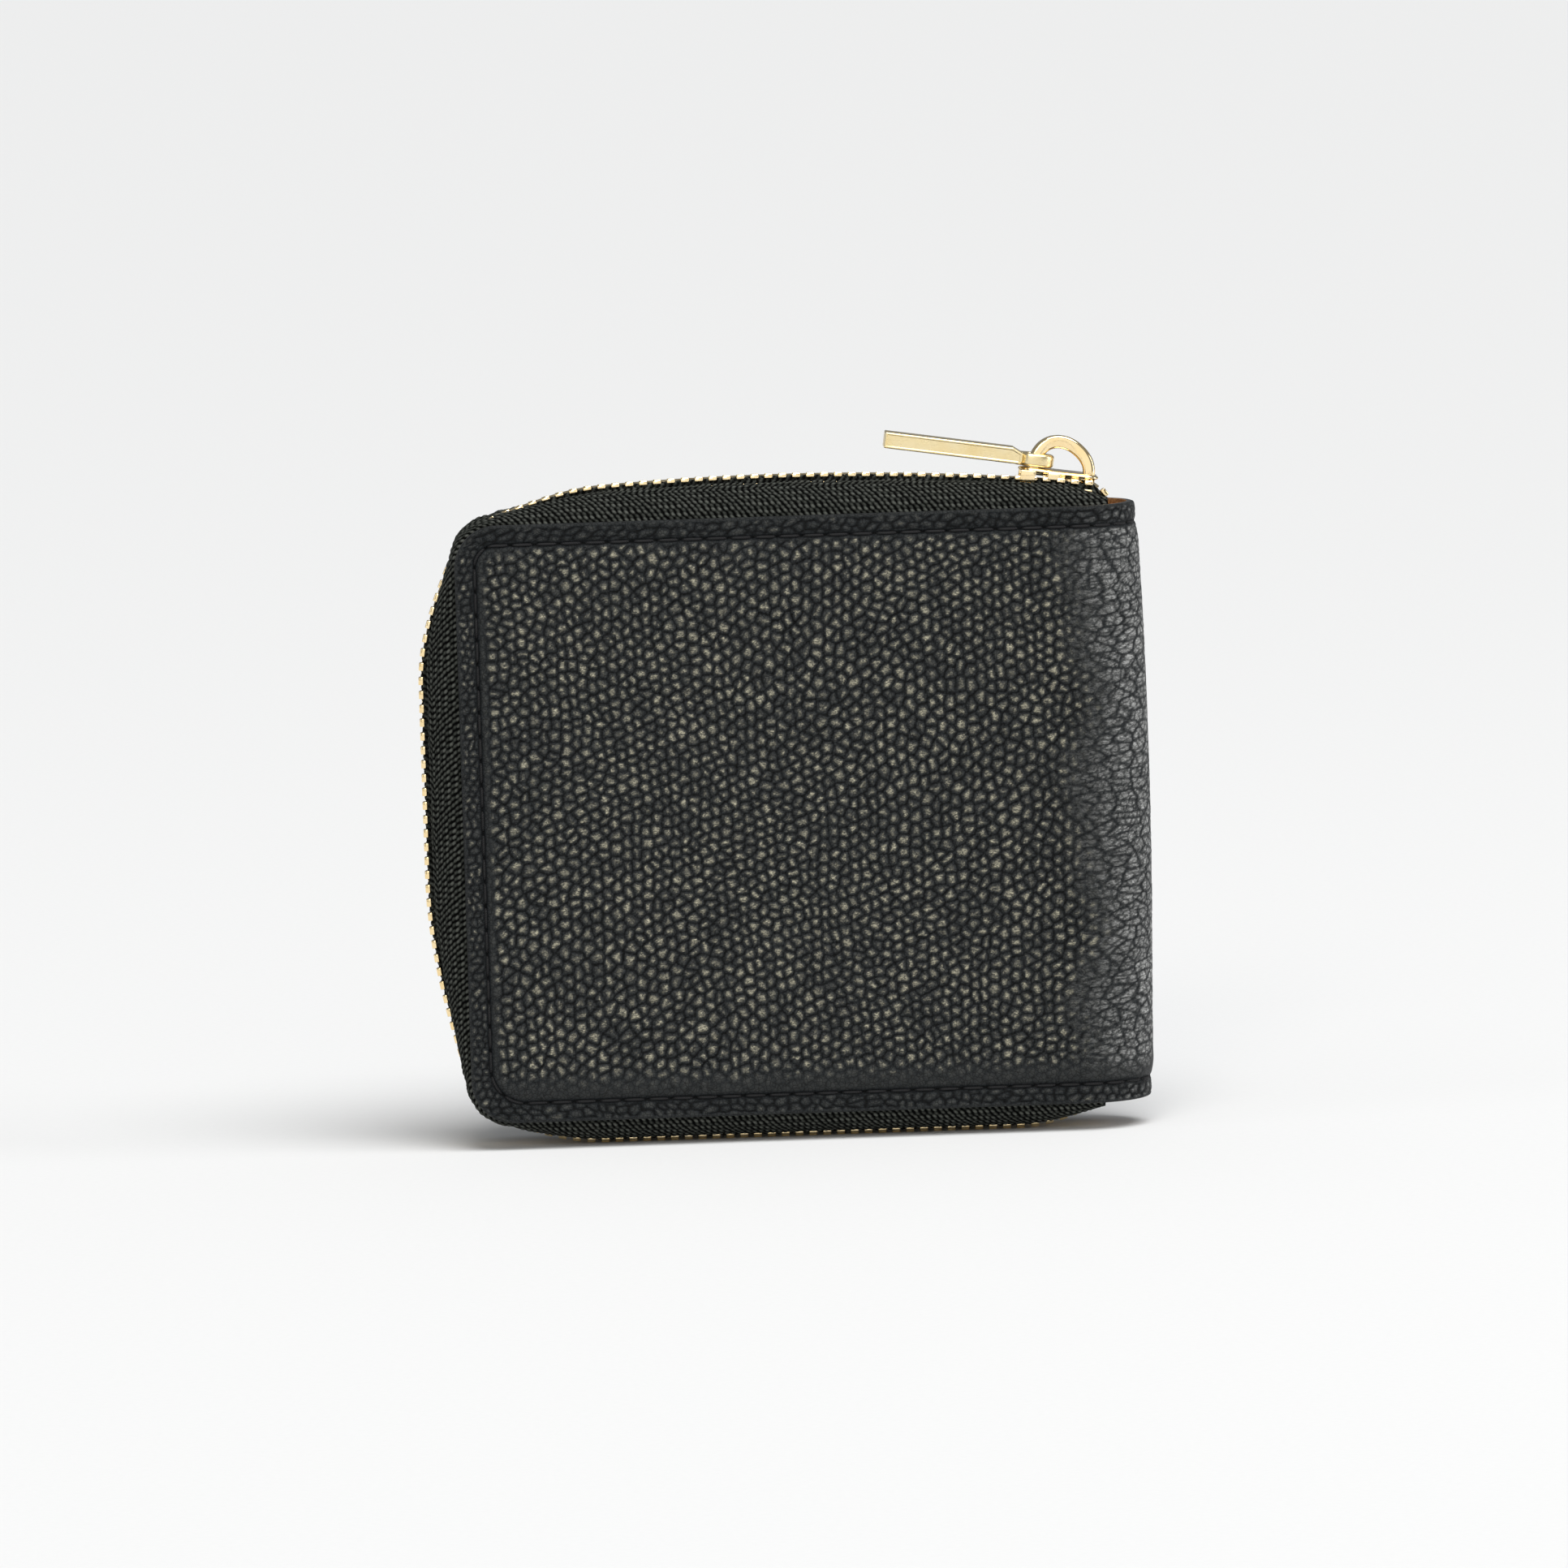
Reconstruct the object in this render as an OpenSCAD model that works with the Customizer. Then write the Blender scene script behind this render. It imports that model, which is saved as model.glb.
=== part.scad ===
// Compact zip around wallet, closed, standing on its bottom zip run.
// +X points to the spine, -Y is the front cover, +Z is up.
// The origin is under the middle of the wallet, level with the bottom teeth.

/* [Cover] */
// Width of the cover, from its open side to the outside of the spine
panel_w = 110; // [106:1:116]
// Height of the cover
panel_h = 96.5; // [92:0.5:102]
// Thickness of the closed wallet
thickness = 22; // [21:0.5:24]
// Radius of the two rounded cover corners
corner_r = 6.8; // [5:0.2:9]
// Thickness of the outer leather
leather_t = 1.2; // [1:0.1:1.3]

/* [Inside] */
// Thickness of the foam under the leather
padding_t = 0.4; // [0.3:0.1:0.5]
// Thickness of the stiffening board
board_t = 0.6; // [0.5:0.1:0.7]
// Thickness of the lining
lining_t = 0.5; // [0.4:0.1:0.6]
// Thickness of one card pocket panel
pocket_t = 0.6; // [0.5:0.1:0.7]
// Step between the top edges of two card pockets
pocket_step = 13; // [10:1:15]
// Width of a card pocket, which a bank card has to enter
pocket_w = 89; // [88:1:92]

/* [Zip] */
// Distance from one tooth to the next in a row
tooth_pitch = 2.24; // [2:0.04:2.6]
// Height of the teeth across the tape
tooth_h = 2; // [1.8:0.1:2.1]
// Rise of the teeth above the cover's top edge
rise_top = 6; // [5:0.1:7]
// Reach of the teeth beyond the cover's open side
rise_side = 5.5; // [3.5:0.1:6]
// Drop of the teeth below the cover's bottom edge
rise_bottom = 4.5; // [3.5:0.1:5]
// Radius of the shallow arch that the top run follows
arch_r = 460; // [440:10:480]
// Where that arch is highest, from the cover's open side
arch_peak = 52; // [50:1:54]
// Thickness of the woven tape
tape_t = 0.5; // [0.4:0.1:0.6]

/* [Slider] */
// Where the closed slider sits, from the cover's open side
slider_at = 97.5; // [97:0.5:98]
// Length of the slider
slider_len = 13; // [12.5:0.5:13.5]
// Width of the slider
slider_w = 7.4; // [7.2:0.2:7.8]
// How much more than the zip the slider noses down, in degrees
slider_nose = 3.2; // [2:0.2:3.4]
// Length of the puller's straight bar
bar_len = 21.2; // [18:0.2:24]
// Width of the puller's bar
bar_w = 5.6; // [5:0.2:6]
// Thickness of the puller's bar
bar_t = 2.6; // [2.2:0.1:2.8]

/* [Coin pocket] */
// Width of the coin pocket
coin_w = 86; // [80:1:88]
// Height of the coin pocket
coin_h = 70; // [60:1:74]
// Depth of the coin pocket
coin_d = 2.4; // [2.2:0.1:2.6]
// Length of the coin zip
coin_zip_len = 70; // [60:1:74]

/* [Hidden] */
$fn = 96;

leather_color = [0.13, 0.14, 0.15];
lining_color = [0.66, 0.46, 0.27];
tape_color = [0.10, 0.11, 0.10];
gold_color = [0.90, 0.75, 0.45];

half = thickness / 2;
left_x = rise_side - (panel_w + rise_side) / 2;
hinge_x = left_x + panel_w - half;
bottom_z = rise_bottom;
top_z = rise_bottom + panel_h;
seam = 6.4;
edge_gap = 1;
leather_in = half - leather_t;
padding_in = leather_in - padding_t;
board_in = padding_in - board_t;
lining_in = board_in - lining_t;
slip_in = lining_in - pocket_t;
row_w = 2.6;
row_gap = 0.05;
side = 0.3;
tape_side = row_w + row_gap;
parted = 1;
parted_out = 0.45;
hem_w = 5;
hem_out = leather_in - 0.1;
hem_in = hem_out - tape_t;
top_end = 105.5;
bottom_end = 102.5;
corner_rise = 0.6;
meshed_from = top_end - slider_at - 0.5;
stop_at = 3.8;

// Lengths of the five stretches of the cover's outline that carry the zip.
run_top = top_end - corner_r;
run_corner = corner_r * PI / 2;
run_side = panel_h - 2 * corner_r;
run_bottom = bottom_end - corner_r;
from_side = run_top + run_corner;
from_low_corner = from_side + run_side;
from_bottom = from_low_corner + run_corner;
run_all = from_bottom + run_bottom;

function clamp01(t) = min(1, max(0, t));
function ease(t) = sin(90 * clamp01(t));

// A point of the outline and its outward normal, at a distance s from the top end.
function outline(s) =
  s <= run_top ? [left_x + top_end - s, top_z, 0, 1]
  : s <= from_side ? corner_point(top_z - corner_r, 90 + (s - run_top) / corner_r * 180 / PI)
  : s <= from_low_corner ? [left_x, top_z - corner_r - (s - from_side), -1, 0]
  : s <= from_bottom
    ? corner_point(bottom_z + corner_r, 180 + (s - from_low_corner) / corner_r * 180 / PI)
  : [left_x + corner_r + (s - from_bottom), bottom_z, 0, -1];
function corner_point(z, a) =
  [left_x + corner_r + corner_r * cos(a), z + corner_r * sin(a), cos(a), sin(a)];

// How far the outside of the teeth stands off the outline. The zip is pulled in at
// both corners and dives into the spine at both ends.
function top_rise(u) =
  (rise_top - pow(u - arch_peak, 2) / (2 * arch_r))
  * ease((u - 4) / 20) * ease((top_end - u) / 5);
function side_rise(v) = rise_side * ease((v - 5) / 21) * ease((panel_h - 5.5 - v) / 34);
function bottom_rise(u) = rise_bottom * ease((u - 5) / 16) * ease((bottom_end - u) / 14);
function rise(s) = max(corner_rise,
  s <= run_top ? top_rise(top_end - s)
  : s <= from_side ? 0
  : s <= from_low_corner ? side_rise(corner_r + s - from_side)
  : s <= from_bottom ? 0
  : bottom_rise(corner_r + s - from_bottom));

// A point at a distance n outside the outline, as [x, z].
function off(s, n) = let (p = outline(s)) [p[0] + p[2] * n, p[1] + p[3] * n];

// Places a shape drawn in X and Z, with its thickness from y0 to y1.
module slab(y0, y1) {
  translate([0, y1, 0])
    rotate([90, 0, 0])
      linear_extrude(height = y1 - y0)
        children();
}

module back_side() {
  mirror([0, 1, 0])
    children();
}

// The cover's outline, less an inset, with two round corners on the open side.
module cover_shape(inset, right_x) {
  r = max(1, corner_r - inset);
  x0 = left_x + inset;
  z0 = bottom_z + inset;
  z1 = top_z - inset;
  translate([x0 + r, z0])
    square([right_x - x0 - r, z1 - z0]);
  translate([x0, z0 + r])
    square([r + 1, z1 - z0 - 2 * r]);
  translate([x0 + r, z0 + r])
    circle(r);
  translate([x0 + r, z1 - r])
    circle(r);
}

// Part of the round spine wall between two radii and two angles from +X.
module spine_wall(outer_r, inner_r, from_a, to_a, inset) {
  far = 3 * half;
  mid_a = (from_a + to_a) / 2;
  translate([hinge_x, 0, bottom_z + inset])
    linear_extrude(height = panel_h - 2 * inset)
      intersection() {
        difference() {
          circle(outer_r);
          circle(inner_r);
        }
        polygon([
          [0, 0],
          [far * cos(from_a), far * sin(from_a)],
          [far * cos(mid_a), far * sin(mid_a)],
          [far * cos(to_a), far * sin(to_a)]
        ]);
      }
}

module front_cover() {
  color(leather_color) {
    slab(-half, -leather_in)
      cover_shape(0, hinge_x);
    spine_wall(half, leather_in, -90, -45, 0);
  }
}

module front_padding() {
  color("dimgray")
    slab(-leather_in, -padding_in)
      cover_shape(seam, hinge_x - 1);
}

module front_board() {
  color("burlywood")
    slab(-padding_in, -board_in)
      cover_shape(seam, hinge_x - 1);
}

module lining_half() {
  slab(-board_in, -lining_in)
    cover_shape(edge_gap, hinge_x);
  translate([hinge_x - lining_t, -leather_in, bottom_z + seam])
    cube([lining_t, leather_in - lining_in, panel_h - 2 * seam]);
  spine_wall(leather_in, leather_in - lining_t, -90, -45, edge_gap);
}

module front_lining() {
  color(lining_color)
    lining_half();
}

// Where the tape's inner edge lies, which is further out where the teeth are parted.
function tape_edge(s) = tape_side + (s < meshed_from + 4 ? parted_out : 0);

// Cross section of one tape at a distance s: its sewn hem, then the web that bends
// over the cover's edge and climbs to the teeth. Each point is [depth from the middle, n].
function tape_section(s) =
  let (
    b = rise(s) - tooth_h / 2,
    hem = outline(s)[0] > hinge_x - 3 ? 0.8 : hem_w,
    n2 = 0.6 + 0.3 * b,
    n3 = 0.9 + 0.72 * b,
    t = tape_t / 2
  )
  [
    [hem_out, -hem], [hem_out, 0.3], [8.7, n2 + t], [5.5, n3 + t], [tape_edge(s), b + t],
    [tape_edge(s), b - t], [5.4, n3 - t], [8.3, n2 - t], [hem_in, -0.2], [hem_in, -hem]
  ];

// The round spine leaves less room beyond the flat of the cover.
function tape_room(s) =
  let (past = outline(s)[0] - hinge_x)
  past <= -0.5 ? 1
  : (sqrt(pow(leather_in - 1, 2) - pow(max(0, past), 2)) - tape_side) / (hem_out - tape_side);
function tape_ring(s) =
  let (room = tape_room(s), edge = tape_edge(s))
  [for (q = tape_section(s))
    let (p = off(s, q[1]))
    [p[0], -(edge + (q[0] - edge) * room), p[1]]];

tape_steps = 84;
section_points = 10;
function ring_start(i) = i * section_points;
function ring_next(j) = (j + 1) % section_points;

module tape_half() {
  points = [for (i = [0:tape_steps]) each tape_ring(run_all * i / tape_steps)];
  sides = [for (i = [0:tape_steps - 1], j = [0:section_points - 1])
    [ring_start(i) + j, ring_start(i) + ring_next(j),
     ring_start(i + 1) + ring_next(j), ring_start(i + 1) + j]];
  first = [for (j = [section_points - 1:-1:0]) j];
  last = [for (j = [0:section_points - 1]) ring_start(tape_steps) + j];
  polyhedron(points = points, faces = concat([first], sides, [last]), convexity = 8);
}

module front_zip_tape() {
  color(tape_color)
    tape_half();
}

// One row of teeth from s0 to s1, as a comb on its bead.
module teeth_row(s0, s1, shift, y0, y1) {
  count = floor((s1 - s0 - shift) / tooth_pitch);
  notch = 0.8;
  outer = [for (i = [0:count - 1])
    let (s = s0 + shift + i * tooth_pitch, e = s + 0.45 * tooth_pitch)
    each [
      off(s, rise(s) - notch), off(s, rise(s)),
      off(e, rise(e)), off(e, rise(e) - notch)
    ]];
  inner = [for (i = [count:-1:0])
    let (s = min(s1, s0 + shift + i * tooth_pitch))
    off(s, rise(s) - tooth_h)];
  slab(y0, y1)
    polygon(concat(outer, inner));
}

// The teeth are meshed up to the slider's wedge and parted beyond it.
module teeth_half(shift) {
  teeth_row(meshed_from, run_all - 3, shift, -row_w, -row_gap);
  teeth_row(stop_at + 0.8, meshed_from - 0.4, 0, -row_w - parted_out, -row_gap - parted);
}

module front_zip_teeth() {
  color(gold_color)
    teeth_half(0);
}

module top_stop_half() {
  p = off(stop_at, rise(stop_at) - tooth_h);
  translate([p[0] - 0.6, -row_w - 0.3, p[1]])
    cube([1.2, 1.4, tooth_h]);
}

module front_top_stop() {
  color(gold_color)
    top_stop_half();
}

// A flat pocket panel from left_u to right_u, with its top edge at panel height top_h.
module pocket_panel(out, t, left_u, right_u, low_h, top_h) {
  slab(-out, -out + t)
    translate([left_x + left_u, bottom_z + low_h])
      square([right_u - left_u, top_h - low_h]);
}

pocket_left = 7;
pocket_low = 7;
pocket_top = panel_h - 13;
module front_slip_pocket() {
  color(leather_color)
    pocket_panel(lining_in, pocket_t, pocket_left, pocket_left + pocket_w, pocket_low,
      pocket_top);
}

module card_pocket(i) {
  color(leather_color)
    pocket_panel(slip_in - (i - 1) * pocket_t, pocket_t, pocket_left,
      pocket_left + pocket_w, pocket_low, pocket_top - i * pocket_step);
}

module back_cover() {
  color(leather_color)
    back_side() {
      slab(-half, -leather_in)
        cover_shape(0, hinge_x);
      spine_wall(half, leather_in, -90, -45, 0);
    }
}

module back_padding() {
  color("dimgray")
    back_side()
      slab(-leather_in, -padding_in)
        cover_shape(seam, hinge_x - 1);
}

module back_board() {
  color("burlywood")
    back_side()
      slab(-padding_in, -board_in)
        cover_shape(seam, hinge_x - 1);
}

module back_lining() {
  color(lining_color)
    back_side()
      lining_half();
}

module back_zip_tape() {
  color(tape_color)
    back_side()
      tape_half();
}

module back_zip_teeth() {
  color(gold_color)
    back_side()
      teeth_half(tooth_pitch / 2);
}

module back_top_stop() {
  color(gold_color)
    back_side()
      top_stop_half();
}

// The bottom stop closes both rows near the bottom end of the spine.
module bottom_stop() {
  s = run_all - 1.6;
  p = off(s, rise(s) - tooth_h);
  color(gold_color)
    translate([p[0] - 1.2, -row_w, p[1] - tooth_h])
      cube([2.4, 2 * row_w, tooth_h]);
}

module note_pocket() {
  color(lining_color)
    back_side()
      pocket_panel(lining_in, pocket_t, pocket_left, pocket_left + pocket_w, pocket_low,
        panel_h - 10);
}

// The coin pocket is a shallow leather box, with its zip across its face.
coin_out = slip_in;
coin_in = coin_out - coin_d;
coin_wall = 0.5;
coin_left = 8.5;
coin_low = 8;
coin_zip_h = coin_low + coin_h - 12;
coin_mouth = 3.4;
coin_mid_u = coin_left + coin_w / 2;

module coin_strip(y0, y1, len, high) {
  translate([left_x + coin_mid_u - len / 2, y0, bottom_z + coin_zip_h - high / 2])
    cube([len, y1 - y0, high]);
}

module coin_pocket() {
  color(leather_color)
    difference() {
      translate([left_x + coin_left, coin_in, bottom_z + coin_low])
        cube([coin_w, coin_d, coin_h]);
      translate([left_x + coin_left + 2, coin_in + coin_wall, bottom_z + coin_low + 2])
        cube([coin_w - 4, coin_d - 2 * coin_wall, coin_h - 4]);
      coin_strip(coin_in - 1, coin_in + 1, coin_zip_len, coin_mouth);
    }
}

coin_tape_in = coin_in + coin_wall;
module coin_zip_tape() {
  color(tape_color)
    difference() {
      coin_strip(coin_tape_in, coin_tape_in + 0.3, coin_zip_len + 6, 9);
      coin_strip(coin_tape_in - 1, coin_tape_in + 1, coin_zip_len, 0.9);
    }
}

// Small teeth along the coin zip, one bar with a notch between each two teeth.
coin_pitch = 1.6;
module coin_zip_teeth() {
  color(gold_color)
    difference() {
      coin_strip(coin_in - 0.5, coin_tape_in, coin_zip_len - 3, 2.6);
      for (x = [-coin_zip_len / 2 + 2.6 : coin_pitch : coin_zip_len / 2 - 2.4])
        translate([left_x + coin_mid_u + x, coin_in - 1, bottom_z + coin_zip_h - 2])
          cube([0.6, 1.1, 4]);
    }
}

// The coin slider's face plate and back plate, joined by its wedge.
coin_slider_len = 7;
coin_slider_u = coin_mid_u + coin_zip_len / 2 - 0.5;
module coin_plate(y0, y1, high) {
  translate([left_x + coin_slider_u - coin_slider_len, y0,
      bottom_z + coin_zip_h - high / 2])
    cube([coin_slider_len, y1 - y0, high]);
}

coin_bridge_r = 2.4;
coin_bridge_t = 0.6;
coin_bridge_y = coin_in - 1.5;
module coin_slider() {
  x = left_x + coin_slider_u - coin_slider_len / 2;
  z = bottom_z + coin_zip_h;
  color(gold_color) {
    coin_plate(coin_in - 1.5, coin_in - 0.7, 4.6);
    coin_plate(coin_tape_in + 0.45, coin_tape_in + 0.85, 4.6);
    translate([left_x + coin_slider_u - 0.95, coin_in - 1, z - 0.35])
      cube([0.8, coin_wall + 1.6, 0.7]);
    translate([x, coin_bridge_y + 0.01, z])
      intersection() {
        difference() {
          cylinder(r = coin_bridge_r, h = 1.4, center = true);
          cylinder(r = coin_bridge_r - coin_bridge_t, h = 2, center = true);
        }
        translate([-3, -3, -1])
          cube([6, 3, 2]);
      }
  }
}

// The small puller lies along the zip, with its eye around the bridge.
module coin_puller() {
  x = left_x + coin_slider_u - coin_slider_len / 2;
  z = bottom_z + coin_zip_h;
  tab_w = 3.4;
  tab_t = 0.6;
  tab_end = -0.7;
  tab_len = 10;
  color(gold_color)
    translate([x, coin_bridge_y - 0.2 - tab_t, z])
      difference() {
        translate([tab_end - tab_len, 0, -tab_w / 2])
          cube([tab_len, tab_t, tab_w]);
        translate([-coin_bridge_r - 0.15, -1, -0.95])
          cube([1.15, 3, 1.9]);
      }
}

module spine_leather() {
  color(leather_color)
    spine_wall(half, leather_in, -45, 45, 0);
}

module spine_lining() {
  color(lining_color)
    spine_wall(leather_in, leather_in - lining_t, -45, 45, edge_gap);
}

// Frame of the slider: X along the zip towards the spine, Z out of the wallet.
channel = 1.45;
plate_t = 1.1;
plate_top = channel + plate_t;
slope = asin((slider_at - arch_peak) / arch_r);
module at_slider() {
  translate([left_x + slider_at, 0, top_z + top_rise(slider_at) - tooth_h / 2])
    rotate([0, slope + slider_nose, 0])
      children();
}

// One plate of the slider, with round ends and a lip along each side.
module slider_plate() {
  r = 2.4;
  translate([0, 0, channel])
    linear_extrude(height = plate_t) {
      square([slider_len - 2 * r, slider_w], center = true);
      square([slider_len, slider_w - 2 * r], center = true);
      for (x = [-1, 1], y = [-1, 1])
        translate([x * (slider_len / 2 - r), y * (slider_w / 2 - r)])
          circle(r);
    }
  for (y = [-1, 1])
    translate([-slider_len / 2 + r, y * (slider_w / 2 - side) - side, channel - 0.75])
      cube([slider_len - 2 * r, 2 * side, 0.75]);
}

module slider_body() {
  color(gold_color)
    at_slider() {
      slider_plate();
      rotate([180, 0, 0])
        slider_plate();
      translate([1.6, -0.7, -channel])
        cube([3.2, 1.4, 2 * channel]);
    }
}

// The bridge is half a ring on the top plate, and the puller's eye runs along it.
bridge_x = 0.45;
bridge_r = 5.4;
bridge_t = 1.8;
bridge_w = 2.4;
module slider_bridge() {
  color(gold_color)
    at_slider()
      translate([bridge_x, 0, plate_top])
        rotate([90, 0, 0])
          intersection() {
            difference() {
              cylinder(r = bridge_r, h = bridge_w, center = true);
              cylinder(r = bridge_r - bridge_t, h = bridge_w + 1, center = true);
            }
            translate([-bridge_r - 1, 0, -bridge_w])
              cube([2 * bridge_r + 2, bridge_r + 1, 2 * bridge_w]);
          }
}

eye_t = 1.6;
eye_z = plate_top + 0.35;
eye_end = -0.9;
slot_x = -5.15;
slot_len = 2.8;
bar_end = -6.5;
module puller() {
  color(gold_color)
    at_slider()
      difference() {
        union() {
          translate([bar_end - bar_len, -bar_w / 2, plate_top + 0.25])
            cube([bar_len, bar_w, bar_t]);
          translate([bar_end - 0.5, -1.9, eye_z])
            cube([1.5, 3.8, eye_t]);
          translate([eye_end - bar_w / 2 + 0.2, 0, eye_z])
            cylinder(r = bar_w / 2 - 0.2, h = eye_t);
        }
        translate([slot_x, -1.45, eye_z - 1])
          cube([slot_len, 2.9, eye_t + 2]);
      }
}

front_cover();
front_padding();
front_board();
front_lining();
front_zip_tape();
front_zip_teeth();
front_top_stop();
front_slip_pocket();
card_pocket(1);  // card_pocket_1
card_pocket(2);  // card_pocket_2
card_pocket(3);  // card_pocket_3
card_pocket(4);  // card_pocket_4
back_cover();
back_padding();
back_board();
back_lining();
back_zip_tape();
back_zip_teeth();
back_top_stop();
bottom_stop();
note_pocket();
coin_pocket();
coin_zip_tape();
coin_zip_teeth();
coin_slider();
coin_puller();
spine_leather();
spine_lining();
slider_body();
slider_bridge();
puller();
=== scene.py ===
"""Zip around wallet: leather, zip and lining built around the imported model.

Sizes are in millimetres until a mesh is made. X runs to the spine, -Y is the front
cover and Z is up. Each half of the wallet is built as a front half, with its own
grain, and mirrored if it is the back one.
"""
import math

import bmesh
import bpy
import numpy as np
from mathutils import Matrix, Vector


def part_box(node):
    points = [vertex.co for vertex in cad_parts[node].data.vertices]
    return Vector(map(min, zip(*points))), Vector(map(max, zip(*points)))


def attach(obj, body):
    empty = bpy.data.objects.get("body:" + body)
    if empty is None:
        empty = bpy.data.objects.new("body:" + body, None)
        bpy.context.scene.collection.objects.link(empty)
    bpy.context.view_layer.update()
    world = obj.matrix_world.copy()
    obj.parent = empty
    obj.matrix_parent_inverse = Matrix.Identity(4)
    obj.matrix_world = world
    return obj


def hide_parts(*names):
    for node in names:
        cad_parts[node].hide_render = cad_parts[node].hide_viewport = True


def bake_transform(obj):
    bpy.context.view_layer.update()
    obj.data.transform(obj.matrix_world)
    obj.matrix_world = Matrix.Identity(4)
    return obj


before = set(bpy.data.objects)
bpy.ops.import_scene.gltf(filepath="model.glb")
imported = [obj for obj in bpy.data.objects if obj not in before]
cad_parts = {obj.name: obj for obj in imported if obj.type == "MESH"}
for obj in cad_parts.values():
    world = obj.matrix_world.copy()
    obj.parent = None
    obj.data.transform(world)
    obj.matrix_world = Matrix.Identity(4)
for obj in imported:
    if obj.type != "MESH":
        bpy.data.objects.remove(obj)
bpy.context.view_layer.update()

MM = 0.001
TAU = 2 * math.pi


# ---- sizes

def box_mm(node):
    """Lowest and highest corner of a CAD node, in millimetres."""
    low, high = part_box(node)
    return np.array(low) / MM, np.array(high) / MM


COVER_LO, COVER_HI = box_mm("front_cover")
SPINE_HI = box_mm("spine_leather")[1]
LEFT_X = COVER_LO[0]
BOTTOM_Z = COVER_LO[2]
TOP_Z = COVER_HI[2]
PANEL_H = TOP_Z - BOTTOM_Z
HALF = -COVER_LO[1]
HINGE_X = SPINE_HI[0] - HALF
FLAT_W = HINGE_X - LEFT_X
SHEET_W = FLAT_W + HALF * math.pi / 2

CORNER_R = 6.8
LEATHER_T = 1.2
SEAM = 3.2
SEAM_R_TOP = 3.4
SEAM_R_LOW = 5.6
STITCH_PITCH = 3.9
THREAD_Z = -0.32
TOOTH_PITCH = 2.24
TOOTH_H = 2.0
TOOTH_W = 1.28
HEAD_W = 0.94
RISE_TOP = 6.0
RISE_SIDE = 5.9
RISE_BOTTOM = 4.0
ARCH_R = 460.0
ARCH_PEAK = 52.0
SLIDER_AT = 97.5
SLIDER_NOSE = 3.2
TOP_END = 105.5
BOTTOM_END = 102.5
CORNER_RISE = -0.1
HEM_DEPTH = HALF - LEATHER_T - 0.35
BEAD_Y = 2.3
BEAD_R = 0.80
LEAN = 0.10
PATH_STEP = 0.05
PARTED = 1.15
SPINE_BULGE = 0.75
MID_TAPE = 10.2
LOOP_PITCH = 1.0
LOOP_ROW = 0.68
LOOP_LONG = 0.60
LOOP_SHORT = 0.36
LOOP_TURN = math.radians(42)
TAPE_HALF_T = 0.2
BEAD_POINTS = 13


# ---- mesh helpers

def clamp01(t):
    return np.clip(t, 0.0, 1.0)


def smooth(t):
    t = clamp01(t)
    return t * t * (3 - 2 * t)


def ease(t):
    return np.sin(0.5 * math.pi * clamp01(t))


def add_object(name, data):
    thing = bpy.data.objects.new(name, data)
    bpy.context.scene.collection.objects.link(thing)
    return thing


def add_mesh(name, points, faces, material, uv=None, values=None, flat=False):
    """A mesh object from points in millimetres, with an optional UV and point values."""
    mesh = bpy.data.meshes.new(name)
    points = np.asarray(points, float)
    mesh.from_pydata((points * MM).tolist(), [], faces)
    if uv is not None:
        layer = mesh.uv_layers.new(name="surface")
        corner = np.empty(len(mesh.loops), np.int32)
        mesh.loops.foreach_get("vertex_index", corner)
        layer.data.foreach_set("uv", np.asarray(uv, np.float32)[corner].ravel())
    for key, value in (values or {}).items():
        attribute = mesh.attributes.new(key, "FLOAT", "POINT")
        attribute.data.foreach_set("value", np.asarray(value, np.float32))
    mesh.polygons.foreach_set("use_smooth", [not flat] * len(mesh.polygons))
    mesh.materials.append(material)
    mesh.update()
    return add_object(name, mesh)


def grid_faces(rows, columns, closed=False, start=0):
    """Quads of a grid of rows x columns points, closed across the columns if asked."""
    last = columns if closed else columns - 1
    i = np.arange(rows - 1)[:, None]
    j = np.arange(last)[None, :]
    k = (j + 1) % columns
    a = start + i * columns + j
    b = start + i * columns + k
    return np.stack([a, b, b + columns, a + columns], -1).reshape(-1, 4).tolist()


def tube_faces(rings, count, wrapped=False):
    """Quads round a stack of rings, which has a face at each end unless it wraps round."""
    faces = grid_faces(rings, count, closed=True)
    last = (rings - 1) * count
    if wrapped:
        return faces + [[last + k, last + (k + 1) % count, (k + 1) % count, k]
                        for k in range(count)]
    return faces + [list(range(count))[::-1], [last + k for k in range(count)]]


def add_half(name, points, faces, material, uv, values=None):
    """A piece of one half of the wallet, mirrored if it belongs to the back half."""
    if name.startswith("back"):
        points = np.asarray(points, float) * [1, -1, 1]
        faces = [face[::-1] for face in faces]
    return add_mesh(name, points, faces, material, uv, values)


def mesh_parts(mesh):
    """The points and faces of a bmesh, which is freed. A bevel's faces come in a new order
    each run, so each one starts at its lowest point and they are sorted."""
    points = np.array([v.co for v in mesh.verts])
    faces = []
    for face in mesh.faces:
        ring = [v.index for v in face.verts]
        first = ring.index(min(ring))
        faces.append(ring[first:] + ring[:first])
    mesh.free()
    return points, sorted(faces)


def unit(vectors):
    """Rows of vectors, each made one long."""
    return vectors / np.linalg.norm(vectors, axis=1)[:, None]


def run_lengths(line):
    """The length along a polyline at each of its points."""
    return np.concatenate([[0], np.cumsum(np.linalg.norm(np.diff(line, axis=0), axis=1))])


def between(at, places, line):
    """The line's values at any places along it."""
    return np.stack([np.interp(at, places, column) for column in line.T], 1)


def outward(piece):
    """Turns a closed mesh's faces outwards."""
    mesh = bmesh.new()
    mesh.from_mesh(piece.data)
    bmesh.ops.recalc_face_normals(mesh, faces=mesh.faces)
    mesh.to_mesh(piece.data)
    mesh.free()
    return piece


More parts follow.
